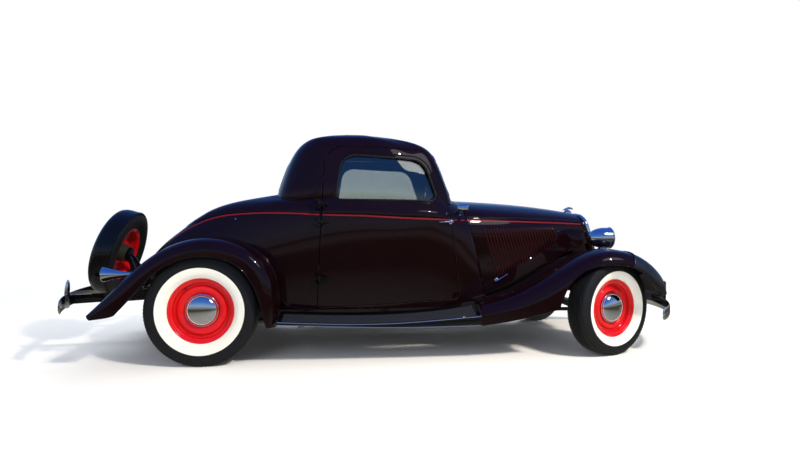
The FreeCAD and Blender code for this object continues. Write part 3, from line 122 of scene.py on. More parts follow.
def chord(points: Array) -> Array:
    """Running length along a row of points."""
    steps = norm(np.diff(np.asarray(points, float), axis=0), axis=-1)
    return np.concatenate([[0.0], np.cumsum(steps)])


def smooth_line(points: Sequence, count: int) -> Array:
    """Smooth line through points, evenly spaced.

    Args:
        points: Places that the line runs through.
        count: How many points it gets.

    Returns:
        The line's points.
    """
    points = np.asarray(points, float)
    run = chord(points)
    fine = cubic(run, points, np.linspace(0, run[-1], 12 * len(points)))
    run = chord(fine)
    even = np.linspace(0, run[-1], count)
    return np.stack([np.interp(even, run, fine[:, k]) for k in range(fine.shape[1])], axis=1)


def rounded(corners: Sequence[Point], steps: int = 10, spacing: float = 45.0) -> Array:
    """Closed outline of straight runs joined by arcs.

    Args:
        corners: (u, v, radius) of each corner.
        steps: Points on each arc.
        spacing: Largest distance between points on the straight runs.

    Returns:
        Points of the outline in order, without repeating the first.
    """
    corners = [np.asarray(c, float) for c in corners]
    out: list[Array] = []
    for i, (u, v, radius) in enumerate(corners):
        here = np.array([u, v])
        back = corners[i - 1][:2] - here
        ahead = corners[(i + 1) % len(corners)][:2] - here
        lb, la = norm(back), norm(ahead)
        back, ahead = back / lb, ahead / la
        half = math.acos(np.clip(back @ ahead, -1, 1)) / 2
        cut = min(radius / math.tan(half), 0.49 * lb, 0.49 * la)
        if radius <= 0:
            out.append(here)
            continue
        true = cut * math.tan(half)
        middle = unit(back + ahead)
        centre = here + middle * (true / math.sin(half))
        start, end = here + back * cut - centre, here + ahead * cut - centre
        a0, a1 = math.atan2(start[1], start[0]), math.atan2(end[1], end[0])
        sweep = (a1 - a0 + math.pi) % (2 * math.pi) - math.pi
        for s in np.linspace(0, 1, steps):
            out.append(centre + true * np.array([math.cos(a0 + s * sweep), math.sin(a0 + s * sweep)]))
    points: list[Array] = []
    for i, p in enumerate(out):
        q = out[(i + 1) % len(out)]
        parts = max(1, int(norm(q - p) / spacing))
        points += [p + (q - p) * k / parts for k in range(parts)]
    return np.array(points)


def grown(corners: Sequence[Point], amount: float) -> list[Point]:
    """Outline moved outwards by an amount.

    Args:
        corners: (u, v, radius) of each corner.
        amount: Distance in mm, less than nothing to shrink it.

    Returns:
        The corners of the new outline.
    """
    pts = np.array([c[:2] for c in corners], float)
    middle = pts.mean(axis=0)
    result = []
    for i, (*_, radius) in enumerate(corners):
        here = pts[i]
        back = pts[i - 1] - here
        ahead = pts[(i + 1) % len(pts)] - here
        back, ahead = unit(back), unit(ahead)
        outward = -unit(back + ahead)
        if outward @ (here - middle) < 0:
            outward = -outward
        half = math.acos(np.clip(back @ ahead, -1, 1)) / 2
        place = here + outward * (amount / math.sin(half))
        result.append((place[0], place[1], max(radius + amount, 2.0)))
    return result


def grid_faces(rows: int, cols: int, wrap: bool) -> list[tuple[int, ...]]:
    """Quads of a grid of points.

    Args:
        rows: Number of rows.
        cols: Points in each row.
        wrap: Whether the last point of a row joins its first.

    Returns:
        Faces as index tuples.
    """
    last = cols if wrap else cols - 1
    return [(r * cols + c, r * cols + (c + 1) % cols, (r + 1) * cols + (c + 1) % cols, (r + 1) * cols + c)
        for r in range(rows - 1) for c in range(last)]


def new_thing(name: str, data: bpy.types.ID) -> Thing:
    """New object in the scene with its data."""
    item = bpy.data.objects.new(name, data)
    bpy.context.scene.collection.objects.link(item)
    return item


def copied(name: str, source: Thing) -> Thing:
    """Copy of an object with its own mesh."""
    data = source.data.copy()
    data.name = name
    return new_thing(name, data)


def evaluated(item: Thing, name: str) -> None:
    """Replaces an object's mesh by what its modifiers make of it.

    Args:
        item: The object.
        name: Name of its new mesh.
    """
    bpy.context.view_layer.update()
    result = bpy.data.meshes.new_from_object(item.evaluated_get(bpy.context.evaluated_depsgraph_get()))
    item.modifiers.clear()
    old, item.data = item.data, result
    result.name = name
    bpy.data.meshes.remove(old)


def unit(vector: Array) -> Array:
    """A vector's direction."""
    return vector / norm(vector)


def make_mesh(name: str, points: Sequence, faces: Sequence, smooth: float = 35.0) -> Thing:
    """Mesh object from points in mid-wheelbase mm.

    Args:
        name: Its name.
        points: Corner places.
        faces: Index tuples.
        smooth: Faces that meet at less than this many degrees are shaded as one.

    Returns:
        The object, in the scene.
    """
    mesh = bpy.data.meshes.new(name)
    mesh.from_pydata([tuple(p) for p in metres(points)], [], [tuple(f) for f in faces])
    mesh.validate()
    item = new_thing(name, mesh)
    face_outward(item)
    shade(item, smooth)
    return item


def face_outward(item: Thing) -> None:
    """Turns every face of a closed mesh outwards."""
    work = bmesh.new()
    work.from_mesh(item.data)
    bmesh.ops.remove_doubles(work, verts=work.verts, dist=2e-6)
    bmesh.ops.recalc_face_normals(work, faces=work.faces)
    work.to_mesh(item.data)
    work.free()


def ring_at(count: int) -> Array:
    """Angles evenly spaced round a turn."""
    return np.linspace(0, 2 * math.pi, count, endpoint=False)


def shade(item: Thing, degrees: float = 35.0) -> None:
    """Smooth shading with sharp edges where faces meet at more than an angle."""
    item.data.shade_smooth()
    item.data.set_sharp_from_angle(angle=math.radians(degrees))


def loft(name: str, sections: Sequence, smooth: float = 35.0) -> Thing:
    """Closed form through closed sections with the same number of points.

    Args:
        name: Its name.
        sections: One ring of points for each station.
        smooth: Largest angle that is shaded smooth.

    Returns:
        The object.
    """
    rings = np.asarray(sections, float)
    rows, cols = rings.shape[:2]
    faces = grid_faces(rows, cols, True)
    faces.append(tuple(reversed(range(cols))))
    faces.append(tuple((rows - 1) * cols + c for c in range(cols)))
    return make_mesh(name, rings.reshape(-1, 3), faces, smooth)


def prism(name: str, outline: Array, axis: str, low: float, high: float) -> Thing:
    """Straight prism over an outline.

    Args:
        name: Its name.
        outline: Points (u, v): X and Z along y, Y and Z along x, X and Y along z.
        axis: The letter of the axis along which it is drawn.
        low: Start along the axis.
        high: End along the axis.

    Returns:
        The object.
    """
    order = {"y": (0, 2, 1), "x": (1, 2, 0), "z": (0, 1, 2)}[axis]
    rings = []
    for level in (low, high):
        ring = np.zeros((len(outline), 3))
        ring[:, order[0]], ring[:, order[1]], ring[:, order[2]] = outline[:, 0], outline[:, 1], level
        rings.append(ring)
    return loft(name, rings)


def tube(name: str, line: Array, radius: float | Sequence[float], sides: int = 10, closed: bool = False,
        flat: float = 1.0) -> Thing:
    """Round or oval bar along a line.

    Args:
        name: Its name.
        line: Its points.
        radius: One radius, or one for each point.
        sides: Corners of its section.
        closed: Whether the line is a ring.
        flat: Height of the section as a share of its width.

    Returns:
        The object.
    """
    line = np.asarray(line, float)
    n = len(line)
    radii = np.broadcast_to(np.asarray(radius, float), (n,))
    ahead = np.roll(line, -1, axis=0) - np.roll(line, 1, axis=0)
    if not closed:
        ahead[0], ahead[-1] = line[1] - line[0], line[-1] - line[-2]
    ahead /= norm(ahead, axis=1)[:, None]
    guess = np.array([0.0, 0.0, 1.0]) if abs(ahead[0][2]) < 0.9 else np.array([0.0, 1.0, 0.0])
    rings = []
    for p, d, r in zip(line, ahead, radii):
        side = unit(np.cross(d, guess))
        guess = np.cross(side, d)
        a = ring_at(sides)[:, None]
        rings.append(p + r * (np.cos(a) * side + np.sin(a) * guess * flat))
    rings = np.array(rings)
    if closed:
        faces = grid_faces(n, sides, True)
        faces += [((n - 1) * sides + c, (n - 1) * sides + (c + 1) % sides, (c + 1) % sides, c) for c in range(sides)]
        return make_mesh(name, rings.reshape(-1, 3), faces, 60.0)
    return loft(name, rings, 60.0)


def lathe(name: str, profile: Sequence, centre: Sequence, axis: Sequence, steps: int = 72,
        smooth: float = 32.0) -> Thing:
    """Solid turned about an axis.

    Args:
        name: Its name.
        profile: (distance along the axis, radius) round the closed section.
        centre: Where distance nought lies.
        axis: Direction of the axis.
        steps: Sections round the turn.
        smooth: Largest angle that is shaded smooth.

    Returns:
        The object.
    """
    w = unit(np.asarray(axis, float))
    u = unit(np.cross(w, (0.0, 0.0, 1.0) if abs(w[2]) < 0.9 else (1.0, 0.0, 0.0)))
    v = np.cross(w, u)
    a = ring_at(steps)
    profile = np.asarray(profile, float)
    rings = [np.asarray(centre) + profile[:, :1] * w + profile[:, 1:] * (math.cos(t) * u + math.sin(t) * v)
        for t in a]
    rings.append(rings[0])
    return make_mesh(name, np.array(rings).reshape(-1, 3), grid_faces(steps + 1, len(profile), True), smooth)


def joined(name: str, items: Sequence[Thing]) -> Thing:
    """One object out of several, with their materials kept.

    Args:
        name: Its name.
        items: Objects that are used up.

    Returns:
        The joined object.
    """
    items = list(items)
    with bpy.context.temp_override(active_object=items[0], object=items[0], selected_objects=items,
            selected_editable_objects=items):
        if len(items) > 1:
            bpy.ops.object.join()
    items[0].name = items[0].data.name = name
    return items[0]


def twin(item: Thing, name: str) -> Thing:
    """Copy of a piece mirrored to the other side of the car.

    Args:
        item: The piece to mirror.
        name: Name of the copy.

    Returns:
        The copy, its faces outwards.
    """
    copy = copied(name, item)
    mesh = item.data
    known = []
    if mesh.has_custom_normals:
        known = [{mesh.loops[k].vertex_index: mesh.corner_normals[k].vector.copy() for k in face.loop_indices}
            for face in mesh.polygons]
    work = bmesh.new()
    work.from_mesh(copy.data)
    for vert in work.verts:
        vert.co.y = -vert.co.y
    bmesh.ops.reverse_faces(work, faces=work.faces)
    work.to_mesh(copy.data)
    work.free()
    if known:
        mirrored = []
        for face, values in zip(copy.data.polygons, known):
            for k in face.loop_indices:
                value = values[copy.data.loops[k].vertex_index]
                mirrored.append((value.x, -value.y, value.z))
        copy.data.normals_split_custom_set(mirrored)
    return copy


def pairs(items: Sequence[Thing]) -> list[Thing]:
    """Pieces of the left side and their mirrored copies."""
    return [*items, *(twin(item, item.name + "_r") for item in items)]


def remove(*items: Thing) -> None:
    """Deletes helper objects with their meshes."""
    for item in items:
        mesh = item.data
        bpy.data.objects.remove(item)
        if mesh and mesh.users == 0:
            bpy.data.meshes.remove(mesh)


def boolean(item: Thing, others: Sequence[Thing], operation: str = "DIFFERENCE", keep: bool = False) -> Thing:
    """Cuts, joins or crosses a closed mesh with others.

    Args:
        item: The mesh that is changed.
        others: The closed meshes used on it, one after another.
        operation: DIFFERENCE, UNION or INTERSECT.
        keep: Whether the others stay in the scene.

    Returns:
        The changed object.
    """
    for other in others:
        step = item.modifiers.new("cut", "BOOLEAN")
        step.operation, step.object, step.solver = operation, other, "MANIFOLD"
    evaluated(item, item.name)
    if not keep:
        remove(*others)
    shade(item)
    return item


def surface_tree(item: Thing) -> tuple[BVHTree, Array, list]:
    """Search tree of a smooth mesh, with its corner normals and triangles.

    Args:
        item: The smooth object.

    Returns:
        The tree, the corners' normals, and the corners with the triangles.
    """
    mesh = item.data
    mesh.calc_loop_triangles()
    tris = [tuple(t.vertices) for t in mesh.loop_triangles]
    verts = [v.co.copy() for v in mesh.vertices]
    normals = np.array([v.vector for v in mesh.vertex_normals])
    return BVHTree.FromPolygons(verts, tris), normals, [verts, tris]


def borrow_normals(item: Thing, forms: Sequence[Thing]) -> None:
    """Gives faces that lie on a smooth form that form's own normals, so that cuts leave no mark in reflections.

    Args:
        item: The cut panel.
        forms: Smooth closed forms that it was cut from.
    """
    trees = [surface_tree(form) for form in forms]
    mesh = item.data
    shade(item)
    corner = [tuple(n.vector) for n in mesh.corner_normals]
    for face in mesh.polygons:
        for tree, normals, (verts, tris) in trees:
            centre, _, _, gap = tree.find_nearest(face.center)
            if centre is None or gap > REACH:
                continue
            found = []
            for loop in face.loop_indices:
                place, _, index, gap = tree.find_nearest(mesh.vertices[mesh.loops[loop].vertex_index].co)
                if place is None or gap > REACH:
                    break
                a, b, c = tris[index]
                weight = barycentric(place, verts[a], verts[b], verts[c])
                blend = normals[a] * weight[0] + normals[b] * weight[1] + normals[c] * weight[2]
                blend = Vector(blend).normalized()
                if blend.dot(face.normal) < 0.75:
                    break
                found.append((loop, tuple(blend)))
            if len(found) == len(face.loop_indices):
                for loop, value in found:
                    corner[loop] = value
                break
    mesh.normals_split_custom_set(corner)


def barycentric(p: Vector, a: Vector, b: Vector, c: Vector) -> Point:
    """Shares of a triangle's corners at a point on it.

    Args:
        p: The point.
        a: First corner.
        b: Second corner.
        c: Third corner.

    Returns:
        The share of each corner.
    """
    v0, v1, v2 = b - a, c - a, p - a
    d00, d01, d11, d20, d21 = v0.dot(v0), v0.dot(v1), v1.dot(v1), v2.dot(v0), v2.dot(v1)
    scale = d00 * d11 - d01 * d01
    if abs(scale) < 1e-18:
        return 1.0, 0.0, 0.0
    v = (d11 * d20 - d01 * d21) / scale
    w = (d00 * d21 - d01 * d20) / scale
    return 1 - v - w, v, w


def srgb(code: str) -> tuple[float, float, float, float]:
    """Linear colour of an sRGB hex code such as 8a1c1f."""
    parts = [int(code[i:i + 2], 16) / 255 for i in (0, 2, 4)]
    return tuple(c / 12.92 if c <= 0.04045 else ((c + 0.055) / 1.055) ** 2.4 for c in parts) + (1.0,)


def add_node(tree: bpy.types.NodeTree, kind: str, settings: dict | None = None, inputs: dict | None = None,
        links: dict | None = None) -> bpy.types.Node:
    """Adds one node to a tree.

    Args:
        tree: Tree that gets the node.
        kind: The node's type name.
        settings: Properties of the node by name.
        inputs: Constants of its sockets by name or index.
        links: Output sockets that its inputs are joined to, by name or index.

    Returns:
        The new node.
    """
    item = tree.nodes.new(kind)
    for name, value in (settings or {}).items():
        setattr(item, name, value)
    for name, value in (inputs or {}).items():
        item.inputs[name].default_value = value
    for name, source in (links or {}).items():
        tree.links.new(source, item.inputs[name])
    return item


def new_tree(owner: bpy.types.Material | bpy.types.World) -> bpy.types.NodeTree:
    """Empty node tree of a new material or world."""
    owner.use_nodes = True
    owner.node_tree.nodes.clear()
    return owner.node_tree


def mixed_shader(tree: bpy.types.NodeTree, share: bpy.types.NodeSocket, one: bpy.types.Node,
        two: bpy.types.Node) -> bpy.types.Node:
    """Shader that goes from one to another by a share."""
    return add_node(tree, "ShaderNodeMixShader", links={0: share, 1: one.outputs[0], 2: two.outputs[0]})


@dataclass(frozen=True)
class Finish:
    """One finish: a principled surface with colour variation, fine relief and uneven gloss at their real scale."""

    name: str
    colour: str
    second: str
    roughness: float = 0.4
    roughness_spread: float = 0.08
    metallic: float = 0.0
    coat: float = 0.0
    coat_roughness: float = 0.03
    patch_mm: float = 60.0
    grain_mm: float = 1.0
    grain_depth_mm: float = 0.01
    weave: float = 0.0
    transmission: float = 0.0
    alpha: float = 1.0
    sheen: float = 0.0
    specular: float = 0.5
    coat_ior: float = 1.5

    def build(self) -> bpy.types.Material:
        """Builds the material.

        Returns:
            The material, ready to be put on a piece.
        """
        made = bpy.data.materials.get(self.name)
        if made:
            return made
        made = bpy.data.materials.new(self.name)
        tree = new_tree(made)
        place = add_node(tree, "ShaderNodeTexCoord").outputs["Object"]
        patches = add_node(tree, "ShaderNodeTexNoise", inputs={"Scale": 1000 / self.patch_mm, "Detail": 4.0},
            links={"Vector": place})
        grain = add_node(tree, "ShaderNodeTexNoise", inputs={"Scale": 1000 / self.grain_mm, "Detail": 2.0},
            links={"Vector": place})
        mixed = add_node(tree, "ShaderNodeMix", {"data_type": "RGBA"}, {6: srgb(self.colour), 7: srgb(self.second)},
            {0: patches.outputs["Fac"]})
        rough = add_node(tree, "ShaderNodeMapRange", inputs={"To Min": max(self.roughness - self.roughness_spread,
            0.0), "To Max": self.roughness + self.roughness_spread}, links={"Value": patches.outputs["Fac"]})
        relief = grain.outputs["Fac"]
        if self.weave:
            weave = add_node(tree, "ShaderNodeTexVoronoi", inputs={"Scale": 1000 / self.weave},
                links={"Vector": place})
            relief = add_node(tree, "ShaderNodeMath", {"operation": "ADD"},
                links={0: weave.outputs["Distance"], 1: relief}).outputs[0]
        bump = add_node(tree, "ShaderNodeBump", inputs={"Strength": 1.0, "Distance": self.grain_depth_mm / 1000},
            links={"Height": relief})
        shader = add_node(tree, "ShaderNodeBsdfPrincipled", inputs={"Metallic": self.metallic,
            "Coat Weight": self.coat, "Coat Roughness": self.coat_roughness,
            "Transmission Weight": self.transmission, "Alpha": self.alpha, "Sheen Weight": self.sheen,
            "Specular IOR Level": self.specular, "Coat IOR": self.coat_ior},
            links={"Base Color": mixed.outputs[2], "Roughness": rough.outputs[0], "Normal": bump.outputs[0]})
        add_node(tree, "ShaderNodeOutputMaterial", links={"Surface": shader.outputs[0]})
        return made


# Deep cherry lacquer: almost black, red only where light falls straight on it
BODY_PAINT = Finish("black_cherry_lacquer", "110305", "0c0204", 0.45, 0.05, coat=1.0, coat_roughness=0.012,
    patch_mm=400, grain_mm=6, grain_depth_mm=0.004, specular=0.02, coat_ior=1.36)
# Gloss black of the spare's cover
BLACK_GLOSS = Finish("black_lacquer", "050506", "08080a", 0.4, 0.05, coat=1.0, coat_roughness=0.015, patch_mm=300,
    grain_mm=6, grain_depth_mm=0.004, specular=0.02, coat_ior=1.4)
# Warm red of the belt stripe, a shade lighter than the panels so that it reads as a line
STRIPE = Finish("pinstripe_enamel", "740b11", "66080d", 0.4, 0.05, coat=0.3, patch_mm=80, grain_mm=3, specular=0.2)
# Dark red along the lips of the louvres: a painted highlight of the body paint catching light on each crest
LOUVRE_PAINTED_HIGHLIGHT = Finish("louvre_line_enamel", "48060a", "3a0508", 0.45, 0.05, patch_mm=80, grain_mm=3, specular=0.15)
# Bright enamel of the steel wheels
WHEEL_RED = Finish("wheel_enamel", "d2060c", "c0040a", 0.45, 0.05, coat=1.0, coat_roughness=0.02, specular=0.15,
    patch_mm=90, grain_mm=4, grain_depth_mm=0.006)
# Bright plating with a very slight cloudiness
CHROME = Finish("bright_chrome", "e9ecef", "dadfe3", 0.055, 0.03, metallic=1.0, patch_mm=40, grain_mm=9,
    grain_depth_mm=0.002)
# Polished steel trim, a little duller than the plating
STEEL_TRIM = Finish("polished_steel", "c9ccd0", "b4b8bc", 0.2, 0.06, metallic=1.0, patch_mm=30, grain_mm=2)
# Tread rubber: dusty dark grey with fine pores
RUBBER = Finish("tyre_rubber", "0c0c0d", "151514", 0.7, 0.1, patch_mm=35, grain_mm=0.9, grain_depth_mm=0.12)
# Off-white sidewall, slightly yellowed in patches
WHITEWALL = Finish("whitewall_rubber", "e8e7de", "dedcd1", 0.58, 0.08, patch_mm=70, grain_mm=1.1, grain_depth_mm=0.06)
# Soft black weather strip and mouldings, also the thin black line that paints the shade in the hood's fold
SEAL = Finish("black_seal_rubber", "0b0b0c", "131314", 0.55, 0.1, patch_mm=20, grain_mm=0.8, grain_depth_mm=0.05)
# Moulded ribs of the headlamp glass, a brighter grey that glints in stripes
GLASS_RIB = Finish("lens_rib_glass", "cfd8d8", "bac4c4", 0.12, 0.04, metallic=0.6, patch_mm=20, grain_mm=2.0)
# Ribbed mat of the running boards, greyed by dust
BOARD_MAT = Finish("board_mat_rubber", "17181a", "222325", 0.5, 0.12, patch_mm=50, grain_mm=1.0, grain_depth_mm=0.08)
# Creased black vinyl that pads the fender noses
VINYL = Finish("creased_black_vinyl", "0c0d10", "15161a", 0.34, 0.1, coat=0.25, coat_roughness=0.2, patch_mm=45,
    grain_mm=2.4, grain_depth_mm=0.25, weave=9.0)
# Satin black of frame, axles and springs with road dust
CHASSIS = Finish("chassis_black", "101012", "1d1b19", 0.42, 0.14, coat=0.2, patch_mm=55, grain_mm=1.5,
    grain_depth_mm=0.08)
# Silencers and pipes: dull grey steel with a brownish bloom
EXHAUST = Finish("aluminised_steel", "6d6a66", "57504a", 0.45, 0.15, metallic=0.8, patch_mm=70, grain_mm=1.5)
# Bare iron of the drums and the painted engine block
IRON = Finish("painted_iron", "23302a", "2b2622", 0.6, 0.15, patch_mm=40, grain_mm=1.4, grain_depth_mm=0.2)
# Dark brown wool of the seat
CLOTH = Finish("brown_seat_cloth", "3a2a22", "2c201a", 0.92, 0.05, patch_mm=70, grain_mm=0.6, grain_depth_mm=0.25,
    weave=1.6, sheen=0.4)
# Grained trim of doors and headliner
HEADLINER = Finish("grey_headliner", "4d4a46", "3d3b38", 0.9, 0.05, patch_mm=80, grain_mm=0.7, grain_depth_mm=0.2)
# Hard black wheel rim and knobs
HARD_RUBBER = Finish("hard_black_rubber", "0d0d0e", "141416", 0.3, 0.08, coat=0.3, patch_mm=30, grain_mm=1.0)
# Red glass of the tail lamps
RED_GLASS = Finish("red_lens_glass", "7a0508", "8e0a0a", 0.12, 0.04, coat=0.6, patch_mm=20, grain_mm=2.0,
    grain_depth_mm=0.02, transmission=0.35)
# Painted plate, oxblood and slightly chalky
PLATE = Finish("plate_enamel", "35080e", "2c070c", 0.38, 0.08, coat=0.3, patch_mm=50, grain_mm=1.5)
# Radiator core: dull black fins
CORE = Finish("radiator_black", "0e0e0e", "171512", 0.65, 0.12, patch_mm=18, grain_mm=1.2, grain_depth_mm=0.3)


def glass(name: str, tint: str, clear: float, rough: float = 0.0) -> bpy.types.Material:
    """Thin glass: a clear sheet that darkens what lies behind it and mirrors more towards its edges.

    Args:
        name: Name of the material.
        tint: Colour of what comes through.
        clear: Share of the light that goes straight through when seen square on.
        rough: Roughness of its reflection.

    Returns:
        The material.
    """
    made = bpy.data.materials.new(name)
    tree = new_tree(made)
    place = add_node(tree, "ShaderNodeTexCoord").outputs["Object"]
    haze = add_node(tree, "ShaderNodeTexNoise", inputs={"Scale": 7.0, "Detail": 3.0}, links={"Vector": place})
    tinted = add_node(tree, "ShaderNodeMix", {"data_type": "RGBA"}, {6: srgb(tint), 7: srgb("ffffff")})
    share = add_node(tree, "ShaderNodeMapRange", inputs={"To Min": 0.0, "To Max": 0.12},
        links={"Value": haze.outputs["Fac"]})
    tree.links.new(share.outputs[0], tinted.inputs[0])
    through = add_node(tree, "ShaderNodeBsdfTransparent", links={"Color": tinted.outputs[2]})
    shine = add_node(tree, "ShaderNodeBsdfGlossy", inputs={"Roughness": rough, "Color": srgb("f4fbfa")})
    edge = add_node(tree, "ShaderNodeFresnel", inputs={"IOR": 1.52})
    amount = add_node(tree, "ShaderNodeMath", {"operation": "MULTIPLY_ADD", "use_clamp": True},
        {1: 1.0, 2: 1 - clear}, {0: edge.outputs[0]})
    both = mixed_shader(tree, amount.outputs[0], through, shine)
    add_node(tree, "ShaderNodeOutputMaterial", links={"Surface": both.outputs[0]})
    return made


def material_of(finish: Finish | bpy.types.Material) -> bpy.types.Material:
    """The material of a finish, or the material itself."""
    return finish.build() if isinstance(finish, Finish) else finish


def dress(item: Thing, finish: Finish | bpy.types.Material) -> Thing:
    """Puts one finish on a piece in place of any it had.

    Args:
        item: The piece.
        finish: Its finish.

    Returns:
        The piece.
    """
    item.data.materials.clear()
    item.data.materials.append(material_of(finish))
    for face in item.data.polygons:
        face.material_index = 0
    return item


def also(item: Thing, finish: Finish | bpy.types.Material, chosen: Callable[[Array, Array], Array]) -> None:
    """Puts a second finish on chosen faces.

    Args:
        item: Piece that has a first finish.
        finish: The finish to add.
        chosen: Says from the faces' centres and normals which of them get it.
    """
    item.data.materials.append(material_of(finish))
    index = len(item.data.materials) - 1
    centres = millimetres([f.center for f in item.data.polygons])
    normals = np.array([f.normal for f in item.data.polygons])
    for face, wanted in zip(item.data.polygons, chosen(centres, normals)):
        if wanted:
            face.material_index = index


def seat(item: Thing, body: str, slot: str, *nodes: str) -> Thing:
    """Ties a finished piece to its CAD body and hides the CAD nodes it stands for.

    Args:
        item: The finished piece.
        body: CAD body that carries it.
        slot: Not used.
        nodes: CAD nodes that it stands for.

    Returns:
        The piece.
    """
    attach(item, body)
    if nodes:
        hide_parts(*nodes)
    return item


def cutter(outline: Sequence, axis: str, low: float, high: float, amount: float | None = None,
        side: int = 1) -> Thing:
    """Prism over an outline with round corners, mostly used to cut.

    Args:
        outline: (u, v, radius) of each corner.
        axis: The letter of the axis along which it is drawn.
        low: Start along the axis.
        high: End along the axis.
        amount: How far the outline is grown first.
        side: -1 turns the span along the axis to the other side.

    Returns:
        The cutter.
    """
    corners = outline if amount is None else grown(outline, amount)
    low, high = sorted((low * side, high * side))
    return prism("cutter", rounded(corners), axis, low, high)


def lifted(rings: Array, heights: Array) -> Array:
    """Rings of points X and Y, each at its own height."""
    return np.dstack([rings, np.broadcast_to(heights[:, None, None], rings.shape[:2] + (1,))])


@dataclass
class Coachwork:
    """Body shell, doors, deck lid and their glass, cut out of two smooth closed forms."""

    # z, x of the cowl's front, half width there, half width at the cowl's back, at the door, x of the tail, half width
    lower_levels: tuple = ((345, 600, 500, 574, 628, -1985, 400), (600, 556, 508, 592, 652, -1965, 425),
        (800, 508, 512, 602, 662, -1820, 450), (950, 462, 500, 600, 660, -1630, 470),
        (1040, 437, 440, 586, 650, -1500, 480), (1100, 424, 330, 566, 636, -1355, 475),
        (1143, 362, 220, 540, 622, -1165, 450), (1172, 262, 160, 480, 604, -1000, 430))
    # z, x of the front, half width there, x of the back, half width at the door
    upper_levels: tuple = ((1100, 372, 540, -1004, 602), (1145, 360, 539, -994, 612), (1250, 322, 530, -962, 606),
        (1400, 266, 508, -906, 581), (1500, 205, 488, -850, 560), (1560, 100, 462, -790, 530),
        (1600, -85, 420, -690, 482), (1622, -210, 345, -570, 400), (1633, -300, 220, -480, 260))
    door_outline: tuple = ((-655, 362, 30), (-603, 1522, 150), (140, 1500, 130), (300, 1170, 250), (396, 402, 60))
    side_glass: tuple = ((-527, 1136, 34), (-478, 1456, 110), (118, 1422, 130), (222, 1128, 38))
    windshield: tuple = ((-448, 1186, 40), (-408, 1462, 60), (408, 1462, 60), (448, 1186, 40))
    back_glass: tuple = ((-300, 1215, 50), (-280, 1400, 60), (280, 1400, 60), (300, 1215, 50))
    lid_outline: tuple = ((-1050, -410, 60), (-1900, -330, 90), (-1900, 330, 90), (-1050, 410, 60))
    underside: tuple = ((-960, 200, 0), (-960, 640, 60), (-1840, 640, 40), (-1895, 490, 30), (-2200, 490, 0),
        (-2200, 200, 0))
    # How far the cutters of doors, their windows, deck lid, windshield and back window reach
    door_span: tuple[float, float] = (380.0, 760.0)
    window_span: tuple[float, float] = (360.0, 760.0)
    lid_span: tuple[float, float] = (620.0, 1250.0)
    front_span: tuple[float, float] = (60.0, 480.0)
    back_span: tuple[float, float] = (-1100.0, -780.0)
    # Height of the rear wheel's middle and radius of its house; half width of the body between the wheels
    wheel_house: tuple[float, float] = (373.0, 423.0)
    tub: float = 555.0
    wall: float = 45.0
    roof_wall: float = 26.0
    gap: float = 6.0
    hinge: tuple = (-640.0, 692.325)
    hinge_heights: tuple = (570.0, 970.0, 1100.0)
    glass_inset: float = 20.0
    forms: dict = field(default_factory=dict)

    def lower_ring(self, row: Sequence[float], inset: float) -> Array:
        """One level of the lower body as a smooth closed outline.

        Args:
            row: A row of the table of levels.
            inset: Distance inside the outer face.

        Returns:
            Points X and Y.
        """
        _, xf, wf, wc, wd, xt, wt = row
        xf, xt = xf - inset, xt + inset
        wf, wc, wd, wt = max(wf - inset, 0.4 * wf), wc - inset, wd - inset, wt - inset
        corner = (xt + 150.0, wt)
        a, b, c = np.array([230.0, wc]), np.array([-450.0, wd]), np.array(corner)
        d = 2 * (a[0] * (b[1] - c[1]) + b[0] * (c[1] - a[1]) + c[0] * (a[1] - b[1]))
        ux = ((a @ a) * (b[1] - c[1]) + (b @ b) * (c[1] - a[1]) + (c @ c) * (a[1] - b[1])) / d
        uy = ((a @ a) * (c[0] - b[0]) + (b @ b) * (a[0] - c[0]) + (c @ c) * (b[0] - a[0])) / d
        r = math.hypot(a[0] - ux, a[1] - uy)
        run = [(xf, wf), ((xf + 230) / 2, (wf + wc) / 2 + 0.12 * (wc - wf)), tuple(a)]
        run += [(x, uy + math.sqrt(r * r - (x - ux) ** 2)) for x in np.linspace(a[0], c[0], 7)[1:-1]]
        run += [corner, (xt + 45, 0.86 * wt), (xt + 12, 0.62 * wt), (xt, 0.0)]
        left = np.array(run)
        line = smooth_line(np.vstack([left, left[-2::-1] * (1, -1)]), 221)
        front = np.linspace(line[-1], line[0], 8)[1:-1]
        return np.vstack([line, front])

    def upper_ring(self, row: Sequence[float], inset: float) -> Array:
        """One level of the upper body as a smooth closed outline.

        Args:
            row: A row of the table of levels.
            inset: Distance inside the outer face.

        Returns:
            Points X and Y.
        """
        _, xf, wf, xb, wd = row
        xf, wf, xb, wd = xf - inset, wf - inset, xb + inset, wd - inset
        bow = 0.035 * wd
        ft, bt = min(0.11 * (xf - xb), 0.2 * wd), min(0.2 * (xf - xb), 0.4 * wd)
        wb, k = wd - bow, 0.29
        half = [(xf, 0), (xf - 0.28 * bow, 0.5 * (wf - ft)), (xf - bow, wf - ft), (xf - bow - k * ft, wf - k * ft),
            (xf - bow - ft, wf), ((xf + xb) / 2 + 0.22 * (xf - xb), 0.25 * wf + 0.75 * wd), ((xf + xb) / 2, wd),
            ((xf + xb) / 2 - 0.16 * (xf - xb), wd - 0.3 * bow), (xb + bow + bt, wb),
            (xb + bow + k * bt, wb - k * bt), (xb + bow, wb - bt), (xb + 0.28 * bow, 0.5 * (wb - bt))]
        ring = np.array(half + [(xb, 0)] + [(x, -y) for x, y in half[:0:-1]])
        n = len(ring)
        line = smooth_line(np.vstack([ring[-3:], ring, ring[:4]]), 12 * (n + 6) + 1)
        run = chord(line)
        start = run[np.argmin(norm(line[:60] - ring[0], axis=1))]
        tail = len(line) - 60
        end = run[tail + np.argmin(norm(line[tail:] - ring[0], axis=1))]
        at = np.linspace(start, end, 241)[:-1]
        return np.stack([np.interp(at, run, line[:, j]) for j in (0, 1)], axis=1)

